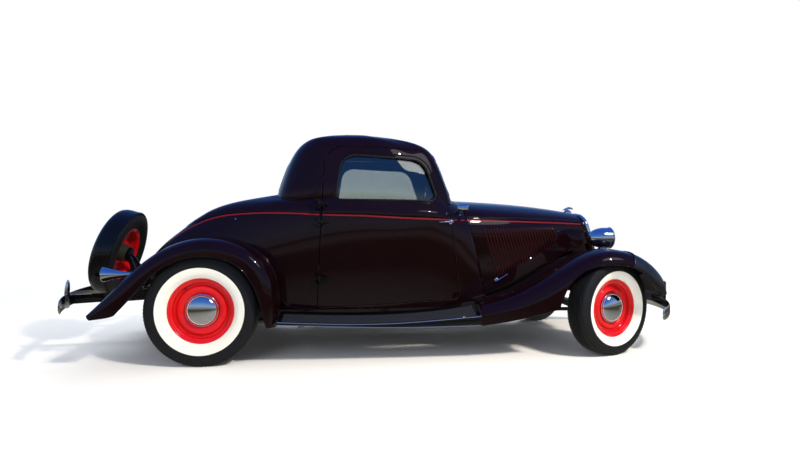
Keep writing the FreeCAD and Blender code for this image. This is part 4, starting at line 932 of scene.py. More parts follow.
    def lower_form(self, name: str, inset: float = 0.0, lowered: float = 0.0, bottom: float = 345.0) -> Thing:
        """Closed form of the lower body.

        Args:
            name: Its name.
            inset: Distance inside the outer face.
            lowered: Drop of each level.
            bottom: Height of its underside.

        Returns:
            The form.
        """
        rows = np.array(self.lower_levels, float)
        t = chord(rows[:, [0, 5]])
        rings = np.array([self.lower_ring(row, inset) for row in rows])
        levels = rows[:, 0] - lowered
        levels[0] = bottom
        at = np.unique(np.concatenate([np.linspace(0, t[-1], 64), [t[-1] - 8, t[-1] - 3]]))
        z = cubic(t, levels, at)
        smooth = cubic(t, rings, at)
        return loft(name, lifted(smooth, z), 50.0)

    def upper_form(self, name: str, inset: float = 0.0, lowered: float = 0.0) -> Thing:
        """Closed form of the upper body with its domed roof.

        Args:
            name: Its name.
            inset: Distance inside the outer face.
            lowered: Drop of each level.

        Returns:
            The form.
        """
        rows = np.array([r for r in self.upper_levels if r[4] - inset > 190], float)
        rings = [self.upper_ring(row, inset) for row in rows]
        top = rings[-1].mean(axis=0)
        rings.append(np.broadcast_to(top, rings[-1].shape) + 0.004 * (rings[-1] - top))
        rings = np.array(rings)
        levels = np.append(rows[:, 0], rows[-1, 0] + 5.0) - lowered
        side = rings[:, 60, :]
        t = chord(np.column_stack([levels, side, rings[:, 0, :]]))
        at = np.linspace(0, t[-1], 72)
        smooth = cubic(t, rings, at)
        z = np.minimum(cubic(t, levels, at), 1638.0 - lowered)
        return loft(name, lifted(smooth, z), 50.0)

    def shell_forms(self) -> None:
        """Builds the outer and inner forms that all panels are cut from."""
        f = self.forms
        f["lower"], f["upper"] = self.lower_form("form_lower"), self.upper_form("form_upper")
        f["outer"] = self.united("form_outer", f["lower"], f["upper"])
        f["lower_in"] = self.lower_form("form_lower_in", self.wall, self.roof_wall, 361.0)
        f["upper_in"] = self.upper_form("form_upper_in", self.wall, self.roof_wall)
        f["inner"] = self.united("form_inner", f["lower_in"], f["upper_in"])
        f["wall"] = boolean(copied("form_wall", f["outer"]), [f["inner"]], keep=True)

    def united(self, name: str, one: Thing, two: Thing) -> Thing:
        """Union of two forms, which both stay."""
        return boolean(copied(name, one), [two], "UNION", keep=True)

    def sweep(self, name: str, extra: float, side: int) -> Thing:
        """Solid turned about the door's hinge, whose rim follows the door's front edge.

        Args:
            name: Its name.
            extra: Margin.
            side: 1 left, -1 right.

        Returns:
            The solid.
        """
        low, mid = 1040.0 + extra, 940.0 + extra
        profile = [(300, 0), (300, low + 6), (1170, mid), (1560, mid), (1560, 0)]
        return lathe(name, profile, (self.hinge[0], side * self.hinge[1], 0), (0, 0, 1), 300)

    def door_cutter(self, extra: float, side: int) -> Thing:
        """Space of one door with a margin round it."""
        item = cutter(self.door_outline, "y", *self.door_span, extra, side)
        return boolean(item, [self.sweep("cut_sweep", extra, side)], "INTERSECT")

    def end_cutters(self) -> list[Thing]:
        """Spaces of the windshield and the back window."""
        return [cutter(self.windshield, "x", *self.front_span, 0.0),
            cutter(self.back_glass, "x", *self.back_span, 0.0)]

    def shell(self) -> Thing:
        """Body shell with its openings and headliner."""
        cutters = self.end_cutters() + [self.door_cutter(self.gap, s) for s in (1, -1)]
        cutters.append(cutter(self.lid_outline, "z", *self.lid_span, self.gap))
        cutters.append(cutter(self.underside, "y", -self.tub, self.tub))
        z, radius = self.wheel_house
        house = [(-WHEELBASE_HALF + radius * math.cos(a), z + radius * math.sin(a), 0) for a in ring_at(64)]
        cutters += [cutter(house, "y", self.tub, self.tub + 300, None, side) for side in (1, -1)]
        return self.painted(boolean(copied("body_shell_skin", self.forms["wall"]), cutters), "car", "body_shell")

    def line_cabin(self, item: Thing) -> None:
        """Gives faces that look into the cabin their cloth lining.

        Args:
            item: A painted panel.
        """
        def inside(centres: Array, normals: Array) -> Array:
            """Faces that look towards the cabin's middle."""
            middle = np.column_stack([np.clip(centres[:, 0], -700, 100), np.zeros(len(centres)),
                np.clip(centres[:, 2], 500, 1300)])
            inward = np.sum((middle - centres) * normals, axis=1) > 0
            narrow = np.abs(centres[:, 1]) < np.where(centres[:, 2] > 1120, 562, 617)
            return inward & narrow & (centres[:, 0] > -965) & (centres[:, 0] < 500)

        also(item, HEADLINER, inside)

    def door(self, side: int) -> Thing:
        """One door panel with its window cut.

        Args:
            side: 1 left, -1 right.

        Returns:
            The panel.
        """
        word = WORDS[side]
        item = copied("door_%s_skin" % word, self.forms["wall"])
        boolean(item, [self.door_cutter(0.0, side)], "INTERSECT")
        boolean(item, [cutter(self.side_glass, "y", *self.window_span, 0.0, side)])
        return self.painted(item, word + "_door", "door_" + word)

    def lid(self) -> Thing:
        """Deck lid."""
        item = boolean(copied("deck_lid_skin", self.forms["wall"]), [cutter(self.lid_outline, "z", *self.lid_span)],
            "INTERSECT")
        return self.painted(item, "deck", "deck_lid", False)

    def painted(self, item: Thing, body: str, node: str, lined: bool = True) -> Thing:
        """Paints a cut panel, gives it the smooth forms' normals and seats it.

        Args:
            item: The panel.
            body: CAD body that carries it.
            node: CAD node that it stands for.
            lined: Whether it looks into the cabin and gets its lining.

        Returns:
            The panel.
        """
        dress(item, BODY_PAINT)
        if lined:
            self.line_cabin(item)
        borrow_normals(item, [self.forms[key] for key in (("lower", "upper") if lined else ("lower",))])
        return seat(item, body, "body_paint", node)

    def panes(self) -> None:
        """Windshield, back window and door windows as thin bent sheets."""
        clear = glass("window_glass", "dadfdd", 0.95)
        skin = boolean(self.upper_form("form_glass", self.glass_inset),
            [self.upper_form("form_glass_core", self.glass_inset + 6.0)])

        def pane(name: str, space: Thing) -> Thing:
            """Part of the sheet in one space."""
            return dress(boolean(copied(name, skin), [space], "INTERSECT"), clear)

        for k, word in WORDS.items():
            item = pane("door_window_" + word, cutter(self.side_glass, "y", *self.window_span, 0.0, k))
            shade(item, 30.0)
            seat(item, word + "_door", "glass", "door_glass_" + word)
        fixed = joined("fixed_windows", [pane("pane", space) for space in self.end_cutters()])
        shade(fixed, 30.0)
        seat(fixed, "car", "glass", "fixed_glass")
        remove(skin)

    def finish_forms(self) -> None:
        """Deletes the helper forms."""
        remove(*self.forms.values())
        self.forms.clear()


def repeat_tree() -> bpy.types.NodeTree:
    """Geometry nodes that set a copy of one object on each place of a mesh.

    Returns:
        The tree. A place's turn and size are read from its attributes.
    """
    name = "repeat_on_places"
    if name in bpy.data.node_groups:
        return bpy.data.node_groups[name]
    tree = bpy.data.node_groups.new(name, "GeometryNodeTree")
    for label, kind in (("Places", "Geometry"), ("Copied", "Object"), ("Finish", "Material"), ("Uneven", "Float"),
            ("Seed", "Int")):
        tree.interface.new_socket(label, in_out="INPUT", socket_type="NodeSocket" + kind)
    tree.interface.new_socket("Result", in_out="OUTPUT", socket_type="NodeSocketGeometry")
    given = add_node(tree, "NodeGroupInput").outputs
    source = add_node(tree, "GeometryNodeObjectInfo", {"transform_space": "ORIGINAL"},
        links={"Object": given["Copied"]})
    turn = add_node(tree, "GeometryNodeInputNamedAttribute", {"data_type": "FLOAT_VECTOR"}, {"Name": "turn"})
    size = add_node(tree, "GeometryNodeInputNamedAttribute", {"data_type": "FLOAT_VECTOR"}, {"Name": "size"})
    low = add_node(tree, "ShaderNodeMath", {"operation": "MULTIPLY"}, {1: -1.0}, {0: given["Uneven"]})
    random = add_node(tree, "FunctionNodeRandomValue", {"data_type": "FLOAT_VECTOR"},
        links={0: low.outputs[0], 1: given["Uneven"], "Seed": given["Seed"]})
    angle = add_node(tree, "ShaderNodeVectorMath", links={0: turn.outputs[0], 1: random.outputs[0]})
    euler = add_node(tree, "FunctionNodeEulerToRotation", links={0: angle.outputs[0]})
    copies = add_node(tree, "GeometryNodeInstanceOnPoints", links={"Points": given["Places"],
        "Instance": source.outputs["Geometry"], "Rotation": euler.outputs[0], "Scale": size.outputs[0]})
    real = add_node(tree, "GeometryNodeRealizeInstances", links={0: copies.outputs[0]})
    painted = add_node(tree, "GeometryNodeSetMaterial", links={"Geometry": real.outputs[0],
        "Material": given["Finish"]})
    add_node(tree, "NodeGroupOutput", links={0: painted.outputs[0]})
    return tree


def repeated(name: str, unit_form: Thing, places: Sequence, turns: Sequence, sizes: Sequence, finish: Finish,
        uneven: float = 0.0) -> Thing:
    """Sets copies of an object on places with geometry nodes and makes one plain mesh of them.

    Args:
        name: Its name.
        unit_form: The object to repeat, drawn round the origin in metres.
        places: Their places.
        turns: Turn of each copy as three angles.
        sizes: Scale of each copy along its own axes.
        finish: Finish of all copies.
        uneven: Largest random turn in radians.

    Returns:
        The mesh of all copies.
    """
    mesh = bpy.data.meshes.new(name)
    mesh.from_pydata([tuple(p) for p in metres(places)], [], [])
    for label, values in (("turn", turns), ("size", sizes)):
        layer = mesh.attributes.new(label, "FLOAT_VECTOR", "POINT")
        layer.data.foreach_set("vector", np.asarray(values, np.float32).ravel())
    item = new_thing(name, mesh)
    tree = repeat_tree()
    step = item.modifiers.new("repeat", "NODES")
    step.node_group = tree
    given = {"Copied": unit_form, "Finish": finish.build(), "Uneven": uneven, "Seed": SEED}
    for socket in tree.interface.items_tree:
        if socket.item_type == "SOCKET" and socket.name in given:
            step[socket.identifier] = given[socket.name]
    evaluated(item, name)
    remove(unit_form)
    return item


def local(item: Thing) -> Thing:
    """Moves a shape drawn in mid-wheelbase mm so that its own nought lies at the row's origin."""
    for vert in item.data.vertices:
        vert.co.x -= ORIGIN_SHIFT / 1000
    return item


@dataclass
class Skin:
    """Finds places on the body's outer surface."""

    tree: BVHTree

    @classmethod
    def of(cls, item: Thing) -> "Skin":
        """Skin of a form."""
        return cls(surface_tree(item)[0])

    def ray(self, start: Point, way: Point) -> tuple[Array, Array]:
        """Place in mm and normal where a ray that starts at a place in metres meets the surface."""
        place, normal, _, _ = self.tree.ray_cast(Vector(start), Vector(way))
        return (np.zeros(3) if place is None else millimetres(place)), np.array(normal or way)

    def side(self, x: float, z: float, side: int = 1) -> tuple[Array, Array]:
        """Outermost place at an x and a height.

        Args:
            x: Its x.
            z: Its height.
            side: 1 left, -1 right.

        Returns:
            The place and the normal there. Off the body, y is 0.
        """
        place, normal = self.ray(((x + ORIGIN_SHIFT) / 1000, side * 1.5, z / 1000), (0, -side, 0))
        if place[1] * side > 0:
            return place, normal
        return np.array([x, 0.0, z]), np.array([0.0, side, 0.0])

    def nearest(self, point: Sequence) -> tuple[Array, Array]:
        """Nearest place on the surface, and the normal there."""
        place, normal, _, _ = self.tree.find_nearest(Vector(metres(point)))
        return millimetres(place), np.array(normal)


def bead(name: str, line: Array, normals: Array, half: float, rise: float, sink: float = 1.5,
        closed: bool = False) -> Thing:
    """Raised moulding along a line that lies on a panel.

    Args:
        name: Its name.
        line: Places on the panel in mid-wheelbase mm.
        normals: The panel's normal at each place.
        half: Half the moulding's width.
        rise: Its height over the panel.
        sink: How deep its foot lies in the panel.
        closed: Whether the line is a ring.

    Returns:
        The moulding.
    """
    line, normals = np.asarray(line, float), np.asarray(normals, float)
    ahead = np.roll(line, -1, axis=0) - np.roll(line, 1, axis=0)
    if not closed:
        ahead[0], ahead[-1] = line[1] - line[0], line[-1] - line[-2]
    across = np.cross(ahead, normals)
    across /= norm(across, axis=1)[:, None]
    section = [(-1.0, -sink), (-1.0, 0.1 * rise), (-0.8, 0.55 * rise), (-0.45, 0.9 * rise), (0.0, rise),
        (0.45, 0.9 * rise), (0.8, 0.55 * rise), (1.0, 0.1 * rise), (1.0, -sink)]
    rings = np.array([[p + a * u * half + n * h for u, h in section] for p, a, n in zip(line, across, normals)])
    if closed:
        rings = np.concatenate([rings, rings[:1]])
        return make_mesh(name, rings.reshape(-1, 3), grid_faces(len(rings), len(section), True), 50.0)
    return loft(name, rings, 50.0)


def bead_on(name: str, spots: Sequence[tuple[Array, Array]], half: float, rise: float, finish: Finish,
        closed: bool = False) -> Thing:
    """Moulding along places that come with their normals.

    Args:
        name: Its name.
        spots: Places and normals.
        half: Half its width.
        rise: Its height.
        finish: Its finish.
        closed: Whether it is a ring.

    Returns:
        The moulding.
    """
    line, normals = np.array([p for p, _ in spots]), np.array([n for _, n in spots])
    return dress(bead(name, line, normals, half, rise, 1.5, closed), finish)


def taper(name: str, points: Sequence, count: int, sizes: Sequence[tuple[float, float]], sides: int,
        flat: float = 1.0) -> Thing:
    """Chrome bar along a smooth line, thicker and thinner on its way.

    Args:
        name: Its name.
        points: Places that it runs through.
        count: Points along it.
        sizes: Share of the way and radius there.
        sides: Corners of its section.
        flat: Height of its section as a share of its width.

    Returns:
        The bar.
    """
    at, radii = zip(*sizes)
    radius = np.interp(np.linspace(0, 1, count), at, radii)
    return dress(tube(name, smooth_line(points, count), radius, sides, flat=flat), CHROME)


def turned(name: str, profile: Sequence, place: Sequence, axis: Sequence, steps: int, finish: Finish,
        smooth: float = 32.0) -> Thing:
    """Turned piece with its finish."""
    return dress(lathe(name, profile, place, axis, steps, smooth), finish)


@dataclass
class Fender:
    """One swept fender: its sheet, rolled edges and the beads along the body."""

    # x, z of the crown, tilt, y and drop of the root, y of the outer edge, drop of the crease, drop of the edge
    rows: tuple
    crown_y: float
    arch: tuple
    where: str
    edge_from: float
    edge_to: float
    sheet: float = 8.0
    stations: int = 90

    def section(self, row: Sequence[float], outside: float, inside: float) -> Array:
        """Closed outline of the sheet at one station.

        Args:
            row: The station.
            outside: Depth of the outer face.
            inside: Depth of the inner face.

        Returns:
            Points of the outline.
        """
        x, z, tilt, y_root, d_root, y_out, d_crease, d_low = row
        sx, sz = math.sin(math.radians(tilt)), math.cos(math.radians(tilt))

        def run(t: float) -> Array:
            """Section from root to lower edge at a depth."""
            crown = self.crown_y
            flat = np.array([(y_root, d_root + t), ((y_root + crown) / 2, d_root * 0.28 + t), (crown, t),
                ((crown + y_out) / 2 - 0.1 * t, 0.115 * d_crease + t),
                (crown + (y_out - t - crown) * 0.78, d_crease * 0.34 + t * 0.8), (y_out - t, d_crease + t * 0.2)])
            line = smooth_line(flat, 34)
            down = np.linspace((y_out - t, d_crease + t * 0.2), (y_out - t, max(d_low, d_crease + 4)), 8)[1:]
            return np.vstack([line, down])

        flat = np.vstack([run(outside), run(inside)[::-1]])
        return np.column_stack([x - flat[:, 1] * sx, flat[:, 0], z - flat[:, 1] * sz])

    def fine_rows(self) -> Array:
        """The stations, closer together along a smooth run."""
        rows = np.array(self.rows, float)
        t = chord(rows[:, :2])
        return cubic(t, rows, np.linspace(0, t[-1], self.stations))

    def arch_outline(self) -> Array:
        """Side view of the wheel opening: three arcs and the corners below."""
        p = [np.array([x, 0.0, z]) for x, z in self.arch]
        line = smooth_line(np.array(p[:7]), 64)
        return np.vstack([line, p[7:]])[:, [0, 2]]

    def build(self, cutters: Sequence[Thing]) -> Thing:
        """Left fender's sheet, cut by the arch and the body.

        Args:
            cutters: Closed forms taken off it, which stay.

        Returns:
            The sheet.
        """
        rows = self.fine_rows()
        item = loft(self.where + "_fender_sheet", [self.section(row, 0.0, self.sheet) for row in rows], 28.0)
        smooth = copied("form_fender", item)
        boolean(item, [prism("cut_arch", self.arch_outline(), "y", 700, 900)])
        boolean(item, cutters, keep=True)
        dress(item, BODY_PAINT)
        borrow_normals(item, [smooth])
        remove(smooth)
        return item

    def body_line(self, skin: Skin) -> Array:
        """Where the sheet meets the body, from station to station.

        Args:
            skin: The body's surface.

        Returns:
            Places along the line.
        """
        line = []
        for row in self.fine_rows():
            for p in smooth_line(self.section(row, 0.0, self.sheet)[:28], 160)[::-1]:
                on = skin.side(p[0], p[2])[0]
                if on[1] > 1.0 and p[1] <= on[1]:
                    line.append(p)
                    break
        return np.array(line)


FRONT_FENDER = Fender(rows=((478, 398, 0, 470, 6, 845, 78, 148), (733, 466, 0, 440, 8, 852, 98, 178),
    (957, 574, 0, 400, 14, 855, 122, 236), (1175, 694, 0, 352, 30, 855, 106, 300),
    (1336, 757, 0, 310, 48, 855, 78, 300), (1513, 765, 10, 285, 62, 855, 78, 200),
    (1661, 722, 28, 290, 74, 855, 84, 150), (1780, 637, 43, 340, 80, 850, 88, 122),
    (1850, 545, 56, 420, 70, 835, 82, 98), (1889, 452, 68, 520, 34, 800, 78, 84)), crown_y=690.0, where="front",
    edge_from=1046.0, edge_to=1800.0, arch=((1040, 372), (1100, 515), (1230, 628), (1415, 664), (1590, 640),
    (1720, 540), (1840, 380), (1840, 100), (1040, 100)))
REAR_FENDER = Fender(rows=((-922, 262, 91, 560, 6, 862, 62, 70), (-922, 420, 86, 560, 6, 862, 72, 112),
    (-950, 600, 68, 560, 6, 862, 74, 122), (-1040, 740, 47, 560, 6, 862, 76, 130),
    (-1190, 830, 24, 545, 6, 862, 78, 140), (-1406, 863, 0, 500, 4, 862, 78, 150),
    (-1637, 805, -26, 440, 4, 862, 78, 150), (-1866, 641, -42, 380, 10, 862, 78, 140),
    (-2030, 478, -45, 380, 20, 855, 66, 150), (-2148, 362, -46, 440, 16, 835, 30, 46)), crown_y=752.0, where="rear",
    edge_from=-1960.0, edge_to=-985.0, arch=((-1990, 330), (-1830, 500), (-1640, 680), (-1405, 745), (-1180, 686),
    (-1050, 510), (-985, 280), (-985, 100), (-1990, 100)))


@dataclass
class Fenders:
    """Both pairs of fenders with their beads, and the soft covers on the front noses."""

    cover_from: float = 1606.0
    cover_sheet: float = 3.0
    welt: float = 4.5

    def build(self, body: Coachwork, skin: Skin) -> None:
        """Builds the fenders and seats them.

        Args:
            body: Coachwork whose forms the sheets end at.
            skin: The body's surface.
        """
        outer = body.forms["outer"]
        rail = cutter([(-2300, 300, 0), (-1700, 300, 0), (-1700, 416, 0), (-2300, 416, 0)], "z", 200, 560)
        front = FRONT_FENDER.build([outer])
        rear = REAR_FENDER.build([outer, rail])
        remove(rail)
        front_parts = [front, self.edge_roll(FRONT_FENDER, 5.0), self.skirt_roll(), self.welting(FRONT_FENDER, skin)]
        rear_parts = [rear, self.edge_roll(REAR_FENDER, 5.5), self.welting(REAR_FENDER, skin), self.ridge(skin)]
        for name, parts in (("front_fenders", front_parts), ("rear_fenders", rear_parts)):
            seat(joined(name + "_skin", pairs(parts)), "car", "body_paint", name)
        seat(joined("nose_covers", pairs(self.cover())), "car", "cover_cloth", "fender_covers")

    def edge_roll(self, fender: Fender, radius: float) -> Thing:
        """Rolled edge round the wheel arch.

        Args:
            fender: The fender.
            radius: Radius of the roll.

        Returns:
            The roll.
        """
        rows = fender.fine_rows()
        rows = rows[np.argsort(rows[:, 0])]
        line = [(x, float(np.interp(x, rows[:, 0], rows[:, 5])) - 4.5, z) for x, z in fender.arch_outline()[:-2]
            if fender.edge_from <= x <= fender.edge_to]
        return dress(tube(fender.where + "_arch_roll", line, radius, 10), BODY_PAINT)

    def skirt_roll(self) -> Thing:
        """Rolled lower edge of the front fender's skirt."""
        rows = [r for r in FRONT_FENDER.fine_rows() if r[0] < FRONT_FENDER.edge_from]
        line = [(r[0], r[5] - 4.5, r[1] - r[7] + 2) for r in rows]
        return dress(tube("front_skirt_roll", line, 4.5, 10), BODY_PAINT)

    def welting(self, fender: Fender, skin: Skin) -> Thing:
        """Piping in the seam between fender and body."""
        line = smooth_line(fender.body_line(skin)[::3], 110)
        return dress(tube(fender.where + "_welt", line + (0, 1.5, 1.5), self.welt, 8), BODY_PAINT)

    def ridge(self, skin: Skin) -> Thing:
        """Second bead of the back fender, a hand's breadth off the body.

        Args:
            skin: The body's surface.

        Returns:
            The bead.
        """
        line, normals = [], []
        for row in REAR_FENDER.fine_rows()[3:-4]:
            points = smooth_line(REAR_FENDER.section(row, 0.0, 8.0)[:28], 160)
            on, _ = skin.side(row[0], row[1])
            k = int(np.argmin(np.abs(points[:, 1] - max(on[1], 470.0) - 34.0)))
            k = min(max(k, 1), len(points) - 2)
            sx, sz = math.sin(math.radians(row[2])), math.cos(math.radians(row[2]))
            normal = unit(np.cross((-sz, 0, sx), points[k + 1] - points[k - 1]))
            line.append(points[k])
            normals.append(normal if normal[2] * sz + normal[0] * sx > 0 else -normal)
        return dress(bead("rear_ridge", smooth_line(line, 110), smooth_line(normals, 110), 7.0, 3.2), BODY_PAINT)

    def cover(self) -> list[Thing]:
        """Creased cover over the nose of the left front fender, with its piped edge."""
        rows = [r for r in FRONT_FENDER.fine_rows() if r[0] > self.cover_from]
        rng = np.random.default_rng(SEED)
        waves = [(rng.uniform(0.5, 1.0), rng.uniform(0.02, 0.07), rng.uniform(0, 6.28)) for _ in range(9)]
        sections = []
        for k, row in enumerate(rows):
            ring = FRONT_FENDER.section(row, -self.cover_sheet, -0.3)
            half = len(ring) // 2
            y = ring[:half, 1]
            crease = sum(a * np.sin(f * y + p + 0.35 * k * (0.6 + f * 4)) for a, f, p in waves) / 6.0
            fall = np.clip((y - 450) / 120, 0, 1) * np.clip((855 - y) / 30, 0, 1)
            lift = 0.9 * crease * fall * min(1.0, k / 3)
            sx, sz = math.sin(math.radians(row[2])), math.cos(math.radians(row[2]))
            ring[:half] += np.outer(lift, (sx, 0.0, sz))
            sections.append(ring)
        sheet = loft("nose_cover", sections, 60.0)
        boolean(sheet, [prism("cut_arch", FRONT_FENDER.arch_outline(), "y", 700, 900)])
        shade(sheet, 60.0)
        edge = FRONT_FENDER.section(rows[0], -self.cover_sheet - 1.0, -0.3)[:34]
        return [dress(sheet, VINYL), dress(tube("nose_piping", edge, 5.0, 10), VINYL)]


@dataclass
class Boards:
    """Running boards with their ribbed mats and bright edge strips."""

    # x, z of the outer edge, z of the inner edge, z of the lower edge
    rows: tuple = ((-916, 302, 334, 276), (-540, 284, 320, 260), (-120, 282, 321, 246), (204, 300, 344, 246),
        (476.5, 320, 389, 250))
    inner_y: float = 600.0
    outer_y: float = 845.0
    sheet: float = 12.0
    # Y of both edges of the ribbed mat
    mat: tuple[float, float] = (668.0, 828.0)
    ribs: int = 11

    def build(self, outer: Thing) -> None:
        """Builds both boards.

        Args:
            outer: Form of the body that they end at.
        """
        t, yi, yo = self.sheet, self.inner_y, self.outer_y
        rows = stations(self.rows, 48)
        rings = []
        for x, zo, zi, zl in rows:
            ring = [(yi, zi), (yo - 14, zo), (yo - 7, zo - 2.5), (yo - 2, zo - 7), (yo, zo - 14), (yo, zl + 5),
                (yo - 1.5, zl + 1.5), (yo - 5, zl), (yo - t, zl), (yo - t, zo - 18), (yo - t - 10, zo - t),
                (yi, zi - t)]
            rings.append([(x, y, z) for y, z in ring])
        board = dress(loft("board", rings, 40.0), BLACK_GLOSS)
        boolean(board, [outer], keep=True)
        parts = [board]
        first, last = self.mat
        for k in range(self.ribs):
            y = first + (last - first) * ((k + 0.5) / self.ribs)
            line = [(x, y, zi + (zo - zi) * (y - yi) / (yo - 14 - yi) + 0.2) for x, zo, zi, _ in rows[1:-1]]
            parts.append(dress(bead("rib", line, [(0, 0.13, 0.99)] * len(line), 5.2, 3.4), BOARD_MAT))
        for name, line, radius in (("trim", [(x, yo - 3.0, zo - 4.0) for x, zo, _, _ in rows], 4.2),
                ("foot_trim", [(x, yo - 1.5, zl + 4.0) for x, _, _, zl in rows], 3.4)):
            parts.append(dress(tube(name, line, radius, 8), STEEL_TRIM))
        seat(joined("running_board_skins", pairs(parts)), "car", "board_rubber", "running_boards")


@dataclass
class Hood:
    """Hood halves with their louvres, mouldings and lever handles."""

    # x, z of the middle, y and z of the shoulder, of the side and of the lower edge
    rows: tuple = ((380, 1137, 330, 1100, 500, 950, 500, 400), (700, 1121, 322, 1072, 458, 930, 466, 470),
        (1075, 1090, 262, 1042, 368, 925, 376, 632), (1452, 1038, 172, 1004, 238, 930, 250, 772),
        (1540, 1024, 150, 992, 214, 920, 228, 806))
    back: tuple = ((300, 1300), (411, 1172), (419, 1122), (437, 1040), (462, 950), (508, 800), (556, 600),
        (600, 345), (600, 200), (300, 200))
    sheet: float = 10.0
    gap: float = 6.0
    nose_x: float = 1440.0
    nose_z: float = 1040.0
    rake: float = 0.295
    louvres: int = 24
    pitch: float = 25.8
    first_x: float = 576.0
    slant: float = 0.32
    # Sections of a louvre's blade and of the dark red strip on its lip, which paints the highlight where light catches
    # the crest
    blade: tuple = ((-9.0, -2.0), (-9.0, 0.4), (-6.0, 2.6), (-1.5, 5.6), (3.0, 7.8), (6.4, 8.2), (7.2, 7.2),
        (5.4, 6.4), (2.0, 5.6), (-2.0, 3.4), (-5.0, 1.0), (-6.0, -2.0))
    lip: tuple = ((3.6, 8.1), (4.6, 8.9), (6.6, 8.9), (7.4, 8.0), (6.2, 7.4))
    # x and y of the sheets inside the front corners
    apron: tuple = ((1370, 254), (1412, 243), (1452, 230), (1535, 208))

    def run(self, row: Sequence[float], t: float) -> Array:
        """Half section of the hood at a depth under its outer face.

        Args:
            row: The station.
            t: Depth.

        Returns:
            Points Y and Z from the middle down to the lower edge.
        """
        _, zm, ys, zs, yd, zd, yl, zl = row
        bend = ((ys + yd) / 2 + 0.13 * (yd - ys), (zs + zd) / 2 + 0.16 * (zs - zd))
        half = [(self.gap / 2, zm - t), (ys * 0.55, zm - t - (zm - zs) * 0.28), (ys - 0.3 * t, zs - 0.9 * t),
            (bend[0] - 0.7 * t, bend[1] - 0.7 * t), (yd - t, zd)]
        down = [(yd + (yl - yd) * k - t, zd + (zl - zd) * k) for k in (0.35, 0.7, 1.0)]
        flip = [(-half[2][0], half[2][1]), (-half[1][0], half[1][1])]
        line = smooth_line(np.array(flip + half + down), 150)
        return smooth_line(line[line[:, 0] >= self.gap / 2], 72)

    def row_at(self, x: float) -> Array:
        """The station at an x."""
        rows = np.array(self.rows, float)
        return cubic(rows[:, 0], rows, [x])[0]

    def side_y(self, x: float, z: float) -> float:
        """Y of the hood's left side at an x and a height."""
        run = self.run(self.row_at(x), 0.0)
        run = run[np.argsort(run[:, 1])]
        return float(np.interp(z, run[:, 1], run[:, 0]))

    def place(self, x: float, z: float) -> tuple[Array, Array]:
        """Place and normal on the left side of the hood at an x and a height."""
        y = self.side_y(x, z)
        normal = np.array([-(self.side_y(x + 4, z) - y) / 4, 1.0, -(self.side_y(x, z + 4) - y) / 4])
        return np.array([x, y, z]), unit(normal)

    def build(self) -> None:
        """Builds both halves and seats them."""
        rings = [across_x(row[0], np.vstack([self.run(row, 0.0), self.run(row, self.sheet)[::-1]]))
            for row in stations(self.rows, 56)]
        panel = loft("hood_panel", rings, 35.0)
        smooth = copied("form_hood", panel)
        back = [(x + self.gap if x > 300 else x, z, 0) for x, z in self.back]
        nose = [self.nose_x + (self.nose_z - z) * self.rake for z in (200, 1300)]
        ahead = [(nose[0], 200, 0), (nose[1], 1300, 0), (2400, 1300, 0), (2400, 200, 0)]
        boolean(panel, [cutter(back, "y", -50, 700), cutter(ahead, "y", -50, 700)])
        slots = [cutter([(x - 4, z, 0), (x + 4, z, 0), (low_x + 4, low_z, 0), (low_x - 4, low_z, 0)], "y", 180, 560)
            for x, z, low_x, low_z in self.louvre_lines()]
        boolean(panel, [joined("slots", slots)])
        dress(panel, BODY_PAINT)
        borrow_normals(panel, [smooth])
        remove(smooth)
        parts = [panel, *self.blades(), *self.mouldings(), *self.handle(), self.top_seam()]
        for word, items in (("left", parts), ("right", [twin(p, p.name + "_r") for p in parts])):
            seat(joined("hood_%s_skin" % word, items), word + "_hood", "body_paint", "hood_" + word)
        seat(self.aprons(), "car", "body_paint")

    def aprons(self) -> Thing:
        """Sheets inside the hood's front corners, which close the view to the radiator."""
        rings = [[(x, y, 640), (x, y, 796), (x, y - 4, 796), (x, y - 4, 640)] for x, y in self.apron]
        sheet = dress(loft("hood_apron", rings, 30.0), BODY_PAINT)
        return joined("hood_aprons", [sheet, twin(sheet, "hood_apron_r")])

    def louvre_lines(self) -> list[tuple[float, float, float, float]]:
        """Top and foot of each louvre: x, z, x, z."""
        lines = []
        for i in range(self.louvres):
            x, z = self.first_x + i * self.pitch, 934.0 - 0.6 * i
            low_z = 566.0 + 0.26 * i * self.pitch + 0.00024 * (i * self.pitch) ** 2
            lines.append((x, z, x + (z - low_z) * self.slant, low_z))
        return lines

    def blades(self) -> list[Thing]:
        """Raised blades over the slots, each with a fine dark red strip along its lip that paints the highlight of
        light on the crest.
        """
        long = 100.0

        def blade(name: str, section: Sequence[tuple[float, float]], ends: float) -> Thing:
            """One blade of unit length whose section swells from both ends.

            Args:
                name: Its name.
                section: Its section.
                ends: Share of the swell at its ends.

            Returns:
                The blade.
            """
            rings = []
            for s in (0.0, 0.03, 0.08, 0.16, 0.5, 0.84, 0.92, 0.97, 1.0):
                swell = math.sin(min(s, 1 - s, 0.16) / 0.16 * math.pi / 2)
                rings.append([(u, -2.0 + (v + 2.0) * max(swell, ends), -s * long) for u, v in section])
            return local(loft(name, rings, 40.0))

        places, turns, sizes = [], [], []
        for x, z, low_x, low_z in self.louvre_lines():
            top, n1 = self.place(x, z)
            low, n2 = self.place(low_x, low_z)
            length = norm(low - top)
            up = (top - low) / length
            across = unit(np.cross((n1 + n2) / 2, up))
            places.append(top)
            turns.append(tuple(Matrix((across, np.cross(up, across), up)).transposed().to_euler()))
            sizes.append((1.0, 1.0, length / long))
        # The second set is the dark red strip on each lip, a painted highlight of light on the crest.
        items = [repeated("louvre_blades", blade("blade", self.blade, 0.0), places, turns, sizes, BODY_PAINT),
            repeated("louvre_lines", blade("line", self.lip, 0.15), places, turns, sizes, LOUVRE_PAINTED_HIGHLIGHT)]
        for item in items:
            face_outward(item)
            shade(item, 40.0)
        return items

